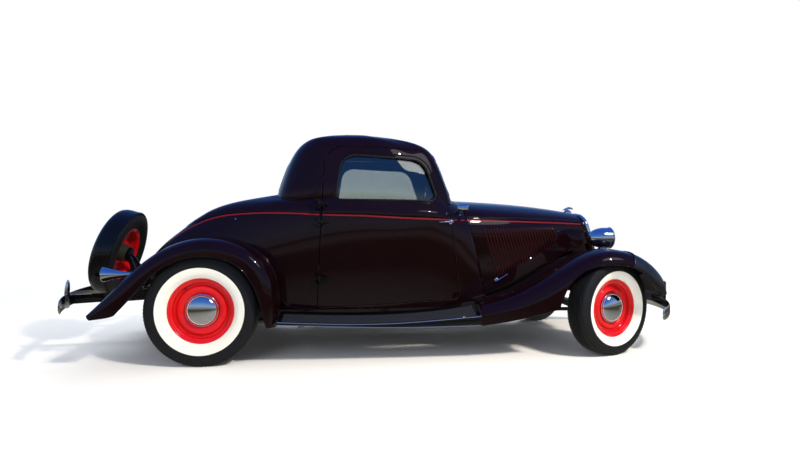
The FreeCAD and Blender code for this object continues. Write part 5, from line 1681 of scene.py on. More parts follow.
    def belt_z(self, x: float) -> float:
        """Height of the red line on the hood at an x."""
        return float(np.interp(x, [380, 566, 864, 1209, 1364, 1470], [984, 976, 970, 959, 952, 947]))

    def mouldings(self) -> list[Thing]:
        """Moulding and red line along the hood's side, and over them a thin black line that paints the shade in the
        fold.
        """
        made = []
        for name, start, end, above, half, rise, finish in (("hood_moulding", 453, 1450, 16.0, 8.5, 4.2,
                BODY_PAINT), ("hood_stripe", 453, 1450, -1.0, 5.5, 0.9, STRIPE),
                # Thin black line in the fold over the moulding: painted shade
                ("hood_fold", 460, 1448, 28.0, 1.6, 0.5, SEAL)):
            spots = [self.place(x, self.belt_z(x) + above) for x in np.linspace(start, end, 60)]
            made.append(bead_on(name, spots, half, rise, finish))
        return made

    def top_seam(self) -> Thing:
        """Half of the middle hinge's rolled bead."""
        line = [(x, self.gap / 2 + 3.5, self.row_at(x)[1] - 1.0) for x in np.linspace(432, 1436, 40)]
        return dress(tube("hood_hinge_bead", line, 4.2, 10), STEEL_TRIM)

    def handle(self) -> list[Thing]:
        """Chrome lever on the side panel."""
        foot, normal = self.place(688, 526)
        lever = [foot + normal * 18 + (-18, 0, -10), foot + normal * 22, foot + normal * 24 + (34, 0, 20), foot
            + normal * 22 + (68, 0, 41)]
        base = ((-3, 0), (-3, 17), (3, 17), (6, 13), (8, 9), (20, 8), (24, 0))
        return [taper("hood_lever", lever, 24, ((0, 5), (0.2, 8), (0.8, 5), (1, 3.5)), 12, 0.7),
            turned("hood_lever_base", base, foot, normal, 32, CHROME),
            turned("hood_lever_tip", ((-6, 0), (-5, 4), (0, 6), (5, 4), (6, 0)), lever[-1], normal, 20, CHROME)]


@dataclass
class RoadWheel:
    """One wheel: tyre with tread, stepped steel wheel and domed cap, drawn about its own axis."""

    name: str
    body: str
    centre: tuple[float, float, float]
    axis: tuple[float, float, float]
    tyre: float = 342.0
    half: float = 88.0
    flange: float = 208.6
    bead: float = 191.0
    out: float = 59.0
    lugs: int = 84
    cap_radius: float = 112.0
    # Where the tread's grooves lie, as shares of half the width
    grooves: tuple = (0.4, 0.2, 0.0, -0.2, -0.4)
    drum: float = 152.0

    def tyre_profile(self) -> Array:
        """Section of the tyre from one bead over the tread to the other.

        Returns:
            Points (distance along the axis, radius).
        """
        b, f, rf, half = self.tyre, self.out, self.flange, self.half
        d = b - rf
        side = [(f - 9, self.bead), (f - 7, rf - 3), (f - 2, rf + 3), (half - 13, rf + 0.2 * d),
            (half - 3, rf + 0.4 * d), (half - 0.6, rf + 0.55 * d), (half - 2.4, rf + 0.7 * d),
            (half - 8, rf + 0.82 * d), (0.85 * half, b - 12), (0.76 * half, b - 4.5), (0.64 * half, b - 1)]
        line = smooth_line(side, 34)
        for radius, rise in ((rf + 0.165 * d, 1.0), (self.white_radius() + 2.0, 0.6)):
            line[:, 0] += rise * np.exp(-((line[:, 1] - radius) / 3.2) ** 2) * (line[:, 0] > f)
        tread = []
        for share in self.grooves:
            at = share * half
            tread += [(at + 4.4, b - abs(share)), (at + 3.0, b - 8), (at - 3.0, b - 8), (at - 4.4, b - abs(share))]
        flipped = line[::-1] * (-1, 1)
        return np.vstack([line, tread, flipped])

    def white_radius(self) -> float:
        """Outer radius of the white band."""
        return self.tyre * 0.79

    def frame_at(self) -> tuple[Array, Array, Array]:
        """The wheel's axis and two directions across it."""
        w = np.array(self.axis, float)
        u = unit(np.cross(w, (0.0, 0.0, 1.0)))
        return w, u, np.cross(w, u)

    def make_tyre(self) -> Thing:
        """Tyre with grooves, shoulder lugs and its white band."""
        w, u, v = self.frame_at()
        c = np.array(self.centre)

        def white(centres: Array, _: Array) -> Array:
            """Faces of the outer sidewall up to the band's rim."""
            along = (centres - c) @ w
            radius = norm(centres - c - along[:, None] * w, axis=1)
            return (along > self.out - 12) & (radius < self.white_radius()) & (radius > self.flange - 8)

        item = turned(self.name + "_tyre", self.tyre_profile(), c, w, 112, RUBBER, 40)
        also(item, WHITEWALL, white)
        lug = local(make_mesh("lug", [(x, y, z) for x in (-5.2, 5.2) for y,
            z in ((-9, -5), (-9, 0.6), (6.5, -1.6), (9, -6))], [(0, 3, 2, 1), (4, 5, 6, 7), (0, 1, 5, 4),
            (1, 2, 6, 5), (2, 3, 7, 6), (3, 0, 4, 7)]))
        places, turns = [], []
        for side in (1, -1):
            for k in range(self.lugs):
                t = 2 * math.pi * (k + 0.25 * side) / self.lugs
                radial = math.cos(t) * u + math.sin(t) * v
                across = w * side
                places.append(c + across * (0.73 * self.half) + radial * (self.tyre - 2.2))
                turns.append(tuple(Matrix((np.cross(across, radial), across, radial)).transposed().to_euler()))
        lugs = repeated(self.name + "_lugs", lug, places, turns, [(1, 1, 1)] * len(places), RUBBER, 0.01)
        return joined(self.name + "_tyre", [item, lugs])

    def make_wheel(self) -> Thing:
        """Steel wheel with its rim steps, drum and hub."""
        rb, rf, f = self.bead, self.flange, self.out
        drum = min(self.drum, rb - 40)
        points = [(-64, 19, 0), (12, 19, 0), (12, 98, 2), (24, 112, 5), (30, max(rb - 81, 118), 4),
            (38, rb - 63, 7), (36, rb - 45, 8), (22, rb - 31, 7), (20, rb - 16, 5), (f - 16, rb - 12, 6),
            (f - 8, rf - 12, 4), (f, rf - 4, 3), (f, rf, 2), (f - 5, rf, 1), (f - 9, rb, 1), (-f + 9, rb, 1),
            (-f + 5, rf, 1), (-f, rf, 2), (-f, rf - 6, 2), (-f + 12, rb - 8, 4), (12, rb - 9, 2), (14, rb - 24, 4),
            (16, rb - 33, 4), (30, rb - 47, 5), (32, rb - 62, 5), (24, max(rb - 77, 121), 2), (14, 119, 0),
            (4, 119, 0), (4, drum, 2), (-56, drum, 3), (-56, drum - 10, 0), (-6, drum - 10, 0), (-6, 60, 0),
            (-64, 60, 3)]
        item = turned(self.name + "_steel", rounded(points, 6, 400), self.centre, self.axis, 96, WHEEL_RED, 30)
        w, c = np.array(self.axis), np.array(self.centre)
        also(item, IRON, lambda centres, normals: ((centres - c) @ w < 11) & (norm(centres - c
            - ((centres - c) @ w)[:, None] * w, axis=1) < drum + 2))
        _, u, v = self.frame_at()
        radial = 0.6 * u - 0.8 * v
        stem = [c + radial * (rb - 21) + w * 20, c + radial * (rb - 24) + w * 34, c + radial * (rb - 28) + w * 46]
        valve = dress(tube("valve", stem, [4.2, 3.4, 2.6], 10), HARD_RUBBER)
        return joined(self.name + "_steel", [item, valve])

    def make_cap(self) -> Thing:
        """Domed chrome cap with its edge ring."""
        dome = [(37 + 43 * math.sin(a), 105.5 * math.cos(a)) for a in np.linspace(0.02, math.pi / 2, 26)]
        dome[-1] = (80, 0)
        edge = [(12, 0), (12, 97), (18, 106), (25, 110.5), (31, 112), (35, 111.6), (37.6, 110.4), (38.4, 108.8),
            (37.8, 107.2), (36.8, 106.2)]
        k = self.cap_radius / 112
        profile = [(x, r * k) for x, r in edge + dome]
        return turned(self.name + "_cap", profile, self.centre, self.axis, 96, CHROME, 40)

    def build(self) -> None:
        """Builds tyre, wheel and cap and seats them."""
        seat(self.make_tyre(), self.body, "tyre", "tyre_" + self.name)
        seat(self.make_wheel(), self.body, "wheel_paint", "wheel_" + self.name)
        seat(self.make_cap(), self.body, "chrome", "cap_" + self.name)


def road_wheels() -> list[RoadWheel]:
    """The four road wheels, the front ones turned to the right as in the picture."""
    turn = math.radians(23)
    s, c = math.sin(turn), math.cos(turn)
    made = []
    for side, word in ((1, "left"), (-1, "right")):
        centre = (WHEELBASE_HALF - side * 105 * s, side * (596 + 105 * c), 342.0)
        made.append(RoadWheel("front_" + word, "road_wheel_front_" + word, centre, (-side * s, side * c, 0.0)))
        made.append(RoadWheel("rear_" + word, "road_wheel_rear_" + word, (-WHEELBASE_HALF, side * 720.0, 373.0),
            (0.0, float(side), 0.0), 373.0, 100.0, 220.0, 203.0, 67.0, 96))
    return made


@dataclass
class Spare:
    """Spare wheel on the tail, its tyre and the painted cover over it."""

    centre: Point = (-2242.0, 0.0, 728.0)
    lean: float = 17.4
    cover: tuple = ((-63, 337), (-63, 341), (-30, 343), (14, 342.6), (42, 339), (62, 331), (77, 318), (88, 300),
        (94.5, 279), (97, 256), (96, 232), (92, 214), (84, 205), (80, 190), (78.5, 150), (77.5, 90), (76, 0),
        (70, 0), (72, 150), (78, 207), (90, 234), (88.5, 278), (72, 314), (40, 333))
    band: tuple = ((-58, 342.4), (-58, 344.6), (-55, 345.6), (-50, 345.6), (-47, 344.6), (-47, 342.4))
    ring: tuple = ((92, 214), (94.5, 213), (96.5, 215.5), (96.0, 219), (93.5, 222))

    def build(self) -> None:
        """Builds the three pieces and seats them."""
        lean = math.radians(self.lean)
        axis = (-math.cos(lean), 0.0, math.sin(lean))
        wheel = RoadWheel("spare", "car", self.centre, axis, 333.0, 82.0, drum=70.0)
        seat(wheel.make_tyre(), "car", "tyre", "spare_tyre")
        seat(wheel.make_wheel(), "car", "wheel_paint", "spare_wheel")
        shell = rounded([(x, r, 0 if r < 1 else 2.0) for x, r in self.cover], 4, 400)
        parts = [turned(name, profile, self.centre, axis, 128, BLACK_GLOSS, 30) for name,
            profile in (("cover", shell), ("cover_band", self.band), ("cover_ring", self.ring))]
        seat(joined("spare_cover_skin", parts), "car", "black_paint", "spare_cover")


@dataclass
class Grille:
    """Raked grille: painted shell with a chrome edge, fine upright bars and the ornament over it."""

    outline: tuple = ((-230, -52, 90), (-150, -4, 160), (0, 13, 600), (150, -4, 160), (230, -52, 90),
        (246, -240, 500), (116, -640, 60), (-116, -640, 60), (-246, -240, 500))
    # Depth and distance inside the outline round the shell's section
    edge: tuple = ((-52, 0), (-30, 0), (-27, 1.2), (-24, 0), (-10, 0.8), (-4, 3), (-1, 7), (0, 12), (-1.5, 18),
        (-5, 22), (-10, 24), (-52, 24), (-52, 0))
    # Foot of the ornament, its turned profile and half the section of a bar
    top: Point = (1437.0, 0.0, 1052.0)
    cap: tuple = ((-20, 0), (-20, 34), (-4, 33), (2, 27), (6, 25), (14, 15), (18, 0))
    blade: tuple = ((-2.5, -1.5), (-2.5, 0), (-2.1, 1.6), (-1.2, 2.7), (0, 3.1), (1.2, 2.7), (2.1, 1.6), (2.5, 0),
        (2.5, -1.5))
    rim: float = 24.0
    base_z: float = 462.0
    foot: Point = (1498.0, 0.0, 1032.0)
    rake: float = math.atan(0.295)
    pitch: float = 15.0

    def laid_back(self, points: Sequence) -> Array:
        """Points drawn upright in the grille's own plane, turned and moved into place."""
        p = np.asarray(points, float)
        c, s = math.cos(self.rake), math.sin(self.rake)
        return np.stack([p[..., 0] * c - p[..., 2] * s, p[..., 1], p[..., 0] * s + p[..., 2] * c], -1) + self.foot

    def loop(self, x: float, inset: float) -> Array:
        """The outline at a depth, drawn in by a distance."""
        return across_x(x, rounded(grown(self.outline, -inset), 12, WHOLE))

    def build(self) -> None:
        """Builds shell, bars and ornament and seats them."""
        rings = [self.laid_back(self.loop(x, inset)) for x, inset in self.edge]
        shell = make_mesh("grille_shell_skin", np.array(rings).reshape(-1, 3),
            grid_faces(len(rings), len(rings[0]), True), 40.0)
        below = [(1200, 300, 0), (1900, 300, 0), (1900, self.base_z, 0), (1200, self.base_z, 0)]
        boolean(shell, [cutter(below, "y", -300, 300)])
        dress(shell, BODY_PAINT)
        ahead = (math.cos(self.rake), 0, math.sin(self.rake))
        also(shell, CHROME, lambda centres, _: (centres - self.foot) @ np.array(ahead) > -26)
        shade(shell, 40.0)
        top = np.array(self.top)
        line = [top + (-44, 0, 12), top + (-10, 0, 24), top + (22, 0, 30), top + (48, 0, 20)]
        parts = [shell, turned("ornament_foot", self.cap, top, (0.06, 0, 1), 48, CHROME),
            taper("ornament", line, 30, ((0, 2.5), (0.25, 8), (0.7, 11), (1, 4)), 16)]
        seat(joined("grille_shell_skin", parts), "car", "body_paint", "grille_shell")
        self.bars()

    def bars(self) -> None:
        """Upright bars and their cross bars."""
        loop = self.loop(0.0, self.rim - 1.0)[:, 1:]
        blade = local(loft("bar", [[(-18 + 17 * (v + 1.5) / 4.6, u, z) for u, v in self.blade]
            for z in (0.0, 100.0)], 40.0))
        places, turns, sizes = [], [], []
        cut = (self.base_z - self.foot[2]) / math.cos(self.rake) + 4
        for y in np.arange(-14, 15) * self.pitch:
            crossings = [a[1] + (b[1] - a[1]) * (y - a[0]) / (b[0] - a[0]) for a,
                b in zip(loop, np.roll(loop, -1, axis=0)) if (a[0] - y) * (b[0] - y) <= 0 and a[0] != b[0]]
            low, high = max(min(crossings), cut), max(crossings)
            if high - low >= 20:
                places.append(self.laid_back((-8.0, y, low)))
                turns.append((0.0, -self.rake, 0.0))
                sizes.append((1.0, 1.0, (high - low) / 100))
        parts = [repeated("grille_bar_set", blade, places, turns, sizes, CHROME)]
        face_outward(parts[0])
        for z in (-160.0, -330.0, -500.0):
            wide = max(abs(loop[np.abs(loop[:, 1] - z) < 60][:, 0]), default=180) if z > -400 else 160
            ends = self.laid_back([(-29.0, side * min(wide, 225), z) for side in (-1, 1)])
            parts.append(dress(tube("cross_bar", ends, 4.0, 8), CHROME))
        seat(joined("grille_bar_set", parts), "car", "chrome", "grille_bars")


class LampForm(Enum):
    """Shapes of lamp shell."""

    BULLET = "bullet"
    TRUMPET = "trumpet"


@dataclass
class Lamps:
    """Headlamps, cowl lamps and tail lamps with their glasses."""

    head: tuple[float, float, float, float] = (1425.0, 1604.0, 430.0, 841.0)
    cowl: tuple[float, float, float, float] = (349.0, 432.0, 600.0, 1074.0)
    tail: tuple[float, float, float, float] = (-1905.0, -2098.0, 660.0, 612.0)

    def shell(self, name: str, lamp: Sequence[float], radius: float, rim: float, form: LampForm) -> Thing:
        """Hollow bullet with a rolled rim; the point is at the lamp's first x.

        Args:
            name: Its name.
            lamp: X of the point, x of the rim, y and z.
            radius: Largest radius of the bullet.
            rim: How far the rim stands out.
            form: Whether it is a bullet or a trumpet.

        Returns:
            The chrome shell, dished inside like a reflector.
        """
        start, end, y, z = lamp
        length = abs(end - start)
        bullet = [(length * 0.74 * s, radius * math.sqrt(s * (2 - s))) for s in np.linspace(0, 1, 22) ** 1.6]
        if form is LampForm.TRUMPET:
            bullet = [(0, 0)] + [(length * 0.9 * s, radius * (0.3 + 0.7 * s ** 1.7)) for s in np.linspace(0, 1, 16)]
        k = rim / 4
        edge = [(length * 0.925, radius), (length * 0.94, radius + 2.2 * k), (length * 0.955, radius + 3.6 * k),
            (length * 0.975, radius + rim), (length * 0.99, radius + 3.5 * k), (length, radius + 1.6 * k),
            (length, radius - 4), (length * 0.96, radius - 5)]
        dish = [(length * (0.42 + 0.54 * s * s), (radius - 5) * s) for s in np.linspace(1, 0, 12)]
        return dress(lathe(name, bullet + edge + dish[1:], (start, y, z), (np.sign(end - start), 0, 0), 64, 34.0),
            CHROME)

    def glass_dome(self, name: str, x: float, lamp: Sequence[float], radius: float, rise: float,
            forward: float) -> Thing:
        """Thin domed glass at the front of a lamp."""
        dome = [(rise * math.cos(a), radius * math.sin(a)) for a in np.linspace(0, math.pi / 2, 14)]
        inner = [(rise * math.cos(a) - 3, (radius - 2) * math.sin(a)) for a in np.linspace(math.pi / 2, 0, 14)]
        return lathe(name, dome + inner, (x, lamp[2], lamp[3]), (forward, 0, 0), 48, 40.0)

    def build(self, body: Thing) -> None:
        """Builds all lamps and seats them.

        Args:
            body: Form of the body, which the cowl lamps' feet end in.
        """
        clear_glass = glass("lamp_glass", "eef4f2", 0.75, 0.06)
        x0, x1, y, z = self.head
        stand = ((1545, y, 706), (1545, y, 730), (1543, y, 752), (1538, y, z - 70))
        heads = [self.shell("headlamp", self.head, 80.0, 4.0, LampForm.BULLET),
            taper("stand", stand, 16, ((0, 24), (0.3, 17), (0.7, 14), (1, 20)), 24),
            turned("stand_foot", ((0, 0), (0, 36), (5, 35), (10, 26), (16, 20), (16, 0)), (1545, y, 756),
            (0.03, 0, 1), 32, CHROME), turned("bulb", ((0, 0), (0, 9), (12, 9), (20, 13), (30, 12), (38, 0)),
            (x0 + 92, y, z), (1, 0, 0), 24, HARD_RUBBER)]
        lens = dress(self.glass_dome("headlamp_glass", x1 + 4, self.head, 77.0, 14.0, 1.0), clear_glass)
        rib = local(loft("flute", [[(1.4 * math.cos(a), 1.6 * math.sin(a), h) for a in np.linspace(-1.57, 1.57, 5)]
            for h in (-50.0, 50.0)], 60.0))
        ys = np.arange(-66, 67, 6.0)
        flutes = repeated("flutes", rib, [(x1 + 3.6 + 14 * math.sqrt(1 - (u / 77) ** 2) * 0.55, y + u, z)
            for u in ys], [(0, 0, 0)] * len(ys), [(1, 1, math.sqrt(76 ** 2 - u * u) / 56) for u in ys], GLASS_RIB)
        _, x1, y, z = self.cowl
        foot = ((386, y - 4, z - 8), (385, y - 40, z - 20), (384, y - 90, z - 32), (384, y - 128, z - 42))
        foot = taper("cowl_foot", foot, 20, ((0, 11), (0.4, 8), (0.8, 10), (1, 15)), 18)
        boolean(foot, [body], keep=True)
        cowls = [self.shell("cowl_lamp", self.cowl, 26.0, 3.0, LampForm.BULLET), foot,
            dress(self.glass_dome("cowl_glass", x1 - 3, self.cowl, 23.0, 5.0, 1.0), clear_glass)]
        _, x1, y, z = self.tail
        arm = ((-1935, y, z - 4), (-1932, y + 3, 584), (-1926, y + 8, 556), (-1920, y + 14, 520))
        tails = [self.shell("tail_lamp", self.tail, 49.0, 2.5, LampForm.TRUMPET),
            taper("tail_arm", arm, 20, ((0, 12), (0.3, 9), (0.8, 9), (1, 13)), 18)]
        red = [dress(self.glass_dome("tail_glass", x1 + 2, self.tail, 44.5, 11.0, -1.0), RED_GLASS)]
        for name, parts, slot, node in (("headlamp_shells", heads, "chrome", "headlamps"),
                ("headlamp_glasses", [lens, flutes], "glass", "headlamp_lenses"),
                ("cowl_lamp_shells", cowls, "chrome", "cowl_lamps"),
                ("tail_lamp_shells", tails, "chrome", "tail_lamps"),
                ("tail_lamp_glasses", red, "red_glass", "tail_lenses")):
            seat(joined(name, pairs(parts)), "car", slot, node)


@dataclass
class Bumper:
    """Bowed chrome bar with a crowned face."""

    name: str
    x: float
    bow: float
    half: float
    low: float
    high: float
    forward: float
    guard_y: float = 0.0
    bolt_y: float = 330.0

    def back_x(self, y: float) -> float:
        """X of the bar's face at a distance from the middle."""
        return self.x - self.forward * (self.bow - math.sqrt(self.bow ** 2 - y * y))

    def bar(self) -> Thing:
        """The bar."""
        middle, height = (self.low + self.high) / 2, (self.high - self.low) / 2
        ys = self.half * np.sin(np.linspace(-math.pi / 2, math.pi / 2, 81))
        rings = []
        for y in ys:
            turn = math.asin(y / self.bow)
            n = np.array([self.forward * math.cos(turn), math.sin(turn), 0.0])
            end = max(0.0, (abs(y) - self.half + 46) / 46)
            tall = height * (1 - 0.5 * (1 - math.sqrt(max(0.0, 1 - end * end))))
            face = [(0.1 + 6.5 * s ** 4 + 1.6 * s * s + (2.4 * math.exp(-(s / 0.09) ** 2)), s)
                for s in np.linspace(-1, 1, 29)]
            loop = [(d, s * tall) for d, s in face] + [(11.8, tall * 0.97), (11.8, -tall * 0.97)]
            foot = np.array([self.back_x(y), y, middle])
            rings.append([foot - n * d + (0, 0, h) for d, h in loop])
        return dress(loft(self.name, rings, 40.0), CHROME)

    def guards(self) -> list[Thing]:
        """Upright guards on the back bar."""
        x = self.back_x(self.guard_y) - self.forward * 12.0
        heights = np.concatenate([np.linspace(352, 470, 16), np.linspace(475, 555.5, 22)])
        rings = []
        for z in heights:
            up = max(0.0, (z - 462) / 94)
            foot = max(0.0, (368 - z) / 16)
            size = math.sqrt(max(0.004, 1 - up ** 2.2)) * math.sqrt(max(0.02, 1 - foot * foot))
            middle = x - 2 + 7 * up
            rings.append([(middle + 17 * size * math.cos(a), self.guard_y + 19 * size * math.sin(a), z)
                for a in np.linspace(0, 2 * math.pi, 33)[:-1]])
        guard = dress(loft("guard", rings, 40.0), CHROME)
        return [guard, twin(guard, "guard_r")]

    def build(self) -> None:
        """Builds the bar and its guards and seats them."""
        parts = [self.bar(), *(self.guards() if self.guard_y else ())]
        for y in (-self.bolt_y, self.bolt_y):
            turn = math.asin(y / self.bow)
            n = np.array([self.forward * math.cos(turn), math.sin(turn), 0.0])
            spot = np.array([self.back_x(y), y, (self.low + self.high) / 2]) - n * 6
            parts.append(turned("bolt", ((0, 0), (0, 15), (3.4, 14), (5.6, 9), (5.9, 0)), spot, n, 28, CHROME))
        seat(joined(self.name + "_bar", parts), "car", "chrome", self.name)


# Turned profiles of small fittings: distance along the axis and radius
STUD = ((-2, 0), (-2, 6), (1.5, 5.6), (3.2, 3), (3.6, 0))
VENT_PIN = ((-2, 0), (-2, 8), (4, 7.6), (8, 4), (9, 0))
HANDLE_ROSE = ((-3, 0), (-3, 21), (2, 20.5), (5, 17), (8, 11), (30, 9), (34, 0))
LOCK = ((-2, 0), (-2, 14), (2.5, 13.6), (4.5, 11), (4.5, 5), (3.6, 4), (3.6, 0))
BARREL = ((-15, 5.6), (-15, 9.4), (-14, 10), (14, 10), (15, 9.4), (15, 5.6))
RIVET = ((-2, 0), (-2, 3.4), (2.2, 2.6), (3, 0))
HINGE_PIN = ((-32, 4), (-32, 8), (-32, 10), (-17, 10), (-16, 9), (-16, 5), (16, 5), (16, 9), (17, 10), (32, 10),
    (32, 8), (32, 4))
LID_ROSE = ((-2, 0), (-2, 19), (3, 18), (6, 13), (16, 8), (22, 0))


@dataclass
class Trim:
    """Beads, belt line, seals, locks, hinges and handles of the body and its doors."""

    # x and z of the red line on the body's side
    stripe: tuple = ((-1800, 782), (-1762, 812), (-1694, 862), (-1625, 904), (-1556, 940), (-1489, 969),
        (-1421, 992), (-1355, 1008), (-1288, 1018), (-1221, 1024), (-1123, 1030), (-1026, 1033), (-930, 1032),
        (-835, 1030), (-740, 1026), (-646, 1020), (-483, 1016), (-319, 1012), (-194, 1005), (-67, 998), (87, 991),
        (248, 985), (392, 980), (440, 979))
    quarter: tuple = ((-566, 1440), (-592, 1341), (-622, 1262), (-652, 1198), (-711, 1153), (-790, 1143),
        (-894, 1146), (-1000, 1153))
    # Beads of the body's lower edge behind and before the door
    back_foot: tuple = ((-921, 446), (-908, 420), (-889, 394), (-865, 375), (-835, 361), (-800, 354), (-740, 351),
        (-668, 350))
    front_foot: tuple = ((404, 352), (500, 352), (588, 352))
    handle: tuple[float, float] = (312.0, 968.0)

    def on_side(self, skin: Skin, points: Sequence, side: int, count: int) -> list[tuple[Array, Array]]:
        """A smooth line of (x, z) points laid on the body's side.

        Args:
            skin: The body's surface.
            points: Places in side view.
            side: 1 left, -1 right.
            count: Places wanted.

        Returns:
            Each place with its normal.
        """
        flat = smooth_line([(x, 0.0, z) for x, z in points], count)
        spots = [skin.side(x, z, side) for x, _, z in flat]
        return [spot for spot in spots if abs(spot[0][1]) > 1]

    def belt(self, skin: Skin, x0: float, x1: float, side: int) -> list[Thing]:
        """Soft belt moulding and the red line under it between two places.

        Args:
            skin: The body's surface.
            x0: Where they start.
            x1: Where they end.
            side: 1 left, -1 right.

        Returns:
            Both mouldings.
        """
        run = np.linspace(x0, x1, max(8, int(abs(x1 - x0) / 18)))
        line = np.column_stack([run, np.interp(run, *zip(*self.stripe))])
        spots = self.on_side(skin, line, side, len(line) * 2)
        red = bead_on("red_line", spots, 5.2, 0.9, STRIPE)
        place = np.array([p for p, _ in spots])
        rise, step = np.gradient(place[:, 2]), np.gradient(place[:, 0])
        lean = rise / np.maximum(np.abs(step), 1e-6) * np.sign(step)
        up = [(p[0] - 34 * math.sin(math.atan(k)), p[2] + 34 * math.cos(math.atan(k))) for p, k in zip(place, lean)]
        swell = dress(bead("belt_swell", *zip(*self.on_side(skin, up, side, len(line) * 2)), 27.0, 4.6, 2.0),
            BODY_PAINT)
        shade(swell, 60.0)
        return [red, swell]

    def ring(self, skin: Skin, amount: float, side: int, half: float, rise: float, finish: Finish) -> Thing:
        """Bead round a door window at a distance from its edge."""
        spots = [skin.side(x, z, side) for x, z in rounded(grown(Coachwork.side_glass, amount), 12, 30)]
        return bead_on("window_bead", spots, half, rise, finish, True)

    def end_ring(self, skin: Skin, outline: Sequence, amount: float, ahead: int, half: float, rise: float,
            finish: Finish) -> Thing:
        """Bead round the windshield or the back window."""
        spots = [skin.ray((ahead * 3.0, y / 1000, z / 1000), (-ahead, 0, 0)) for y,
            z in rounded(grown(outline, amount), 10, 30)]
        return bead_on("end_bead", spots, half, rise, finish, True)

    def shell_trim(self, skin: Skin) -> None:
        """Trim that stays with the body.

        Args:
            skin: The body's surface.
        """
        parts = []
        for side in (1, -1):
            parts += self.belt(skin, -1785.0, -642.0, side) + self.belt(skin, 396.0, 428.0, side)
            for name, points, count, half, rise in (("quarter_bead", self.quarter, 90, 6.0, 3.2),
                    ("foot_bead", self.back_foot, 50, 4.2, 3.4), ("foot_bead", self.front_foot, 50, 4.2, 3.4)):
                parts.append(bead_on(name, self.on_side(skin, points, side, count), half, rise, BODY_PAINT))
            for x, z, profile, steps in ((-1240, 990, STUD, 16), (-1232, 769, STUD, 16), (395, 1016, VENT_PIN, 20)):
                parts.append(turned("stud", profile, *skin.side(x, z, side), steps, CHROME))
        for outline, ahead, finish in ((Coachwork.windshield, 1, STEEL_TRIM), (Coachwork.back_glass, -1, BODY_PAINT)):
            parts.append(self.end_ring(skin, outline, 5.0, ahead, 5.0, 2.2, SEAL))
            parts.append(self.end_ring(skin, outline, 17.0, ahead, 5.0, 3.6, finish))
        seat(joined("body_trim", parts), "car", "body_paint")

    def door_trim(self, skin: Skin, side: int) -> None:
        """Trim of one door.

        Args:
            skin: The body's surface.
            side: 1 left, -1 right.
        """
        word = WORDS[side]
        parts = self.belt(skin, -618.0, 372.0, side)
        parts.append(self.ring(skin, 4.0, side, 4.6, 2.0, SEAL))
        parts.append(self.ring(skin, 25.0, side, 6.5, 4.0, BODY_PAINT))
        seat(joined("door_trim_" + word, parts), word + "_door", "body_paint")

    def hardware(self, skin: Skin, side: int) -> None:
        """Pull handle, lock and hinge straps of one door.

        Args:
            skin: The body's surface.
            side: 1 left, -1 right.
        """
        word = WORDS[side]
        root, _ = skin.side(*self.handle, side)
        out = np.array([0.0, side, 0.0])
        grip = [root + out * 31 + (9, 0, 0), root + out * 33, root + out * 40 + (-38, 0, 1), root + out * 44
            + (-70, 0, 0), root + out * 43 + (-92, 0, -1)]
        sizes = ((0, 5), (0.08, 9.5), (0.2, 7), (0.55, 9.5), (0.85, 7.5), (1, 4))
        parts = [turned("handle_rose", HANDLE_ROSE, root, out, 36, CHROME),
            taper("handle_grip", grip, 40, sizes, 16, 0.75), turned("lock", LOCK, *skin.side(288.0, 1024.0, side),
            32, CHROME)]
        hx, hy = Coachwork.hinge
        for height in Coachwork.hinge_heights:
            centre = np.array([hx, side * hy, height])
            tip, _ = skin.side(hx + 66, height, side)
            line = smooth_line([centre + (5, -side * 2, 0), centre + (20, -side * 4, 0), tip + (-22, side * 11, 0),
                tip + (0, side * 6, 0)], 16)
            wide = np.interp(np.linspace(0, 1, 16), [0, 0.3, 0.8, 1], [14, 13, 12, 8])
            parts += [turned("barrel", BARREL, centre, (0, 0, 1), 28, BLACK_GLOSS),
                dress(self.strap(line, wide, 3.6), BLACK_GLOSS)]
            parts += [turned("rivet", RIVET, tip + (-14, side * 11, dz), (0, side, 0), 14, BLACK_GLOSS)
                for dz in (-6, 6)]
        seat(joined("door_handle_and_straps_" + word, parts), word + "_door", "chrome", "door_hardware_" + word)

    @staticmethod
    def strap(line: Array, wide: Sequence[float], thick: float) -> Thing:
        """Flat strap that lies upright along a line.

        Args:
            line: Its middle.
            wide: Half its height at each point.
            thick: Half its thickness.

        Returns:
            The strap.
        """
        rings = []
        for k, (p, w) in enumerate(zip(line, wide)):
            a, b = line[max(k - 1, 0)], line[min(k + 1, len(line) - 1)]
            n = np.cross(b - a, (0, 0, 1.0))
            n *= thick / norm(n)
            rings.append([p + n * u + (0, 0, w * v) for u, v in ((1, 0.9), (0.6, 1), (-1, 1), (-1, -1), (0.6, -1),
                (1, -0.9))])
        return loft("strap", rings, 30.0)

    def hinge_bodies(self, skin: Skin) -> None:
        """Body halves of the door hinges with their pins.

        Args:
            skin: The body's surface.
        """
        parts = []
        hx, hy = Coachwork.hinge
        for side in (1, -1):
            for height in Coachwork.hinge_heights:
                centre = np.array([hx, side * hy, height])
                parts.append(turned("pin", HINGE_PIN, centre, (0, 0, 1), 28, BLACK_GLOSS))
                root, _ = skin.side(hx - 30, height, side)
                for dz in (-24, 24):
                    line = [centre + (0, 0, dz), centre + (-14, -side * 8, dz), root + (0, -side * 6, dz)]
                    parts.append(dress(self.strap(smooth_line(line, 12), [7.6] * 12, 4.5), BLACK_GLOSS))
        seat(joined("hinge_pin_set", parts), "car", "hinge_paint", "hinge_pins")

    def lid_handle(self, skin: Skin) -> None:
        """Handle of the deck lid with its rose.

        Args:
            skin: The body's surface.
        """
        spot, normal = skin.nearest((-1830.0, 0.0, 800.0))
        grip = [spot + normal * 17 - (0, 44, 0), spot + normal * 20, spot + normal * 17 + (0, 44, 0)]
        parts = [turned("lid_rose", LID_ROSE, spot, normal, 32, CHROME),
            taper("lid_grip", grip, 30, ((0, 4), (0.3, 7), (0.5, 9), (0.7, 7), (1, 4)), 16)]
        seat(joined("lid_handle", parts), "deck", "chrome")

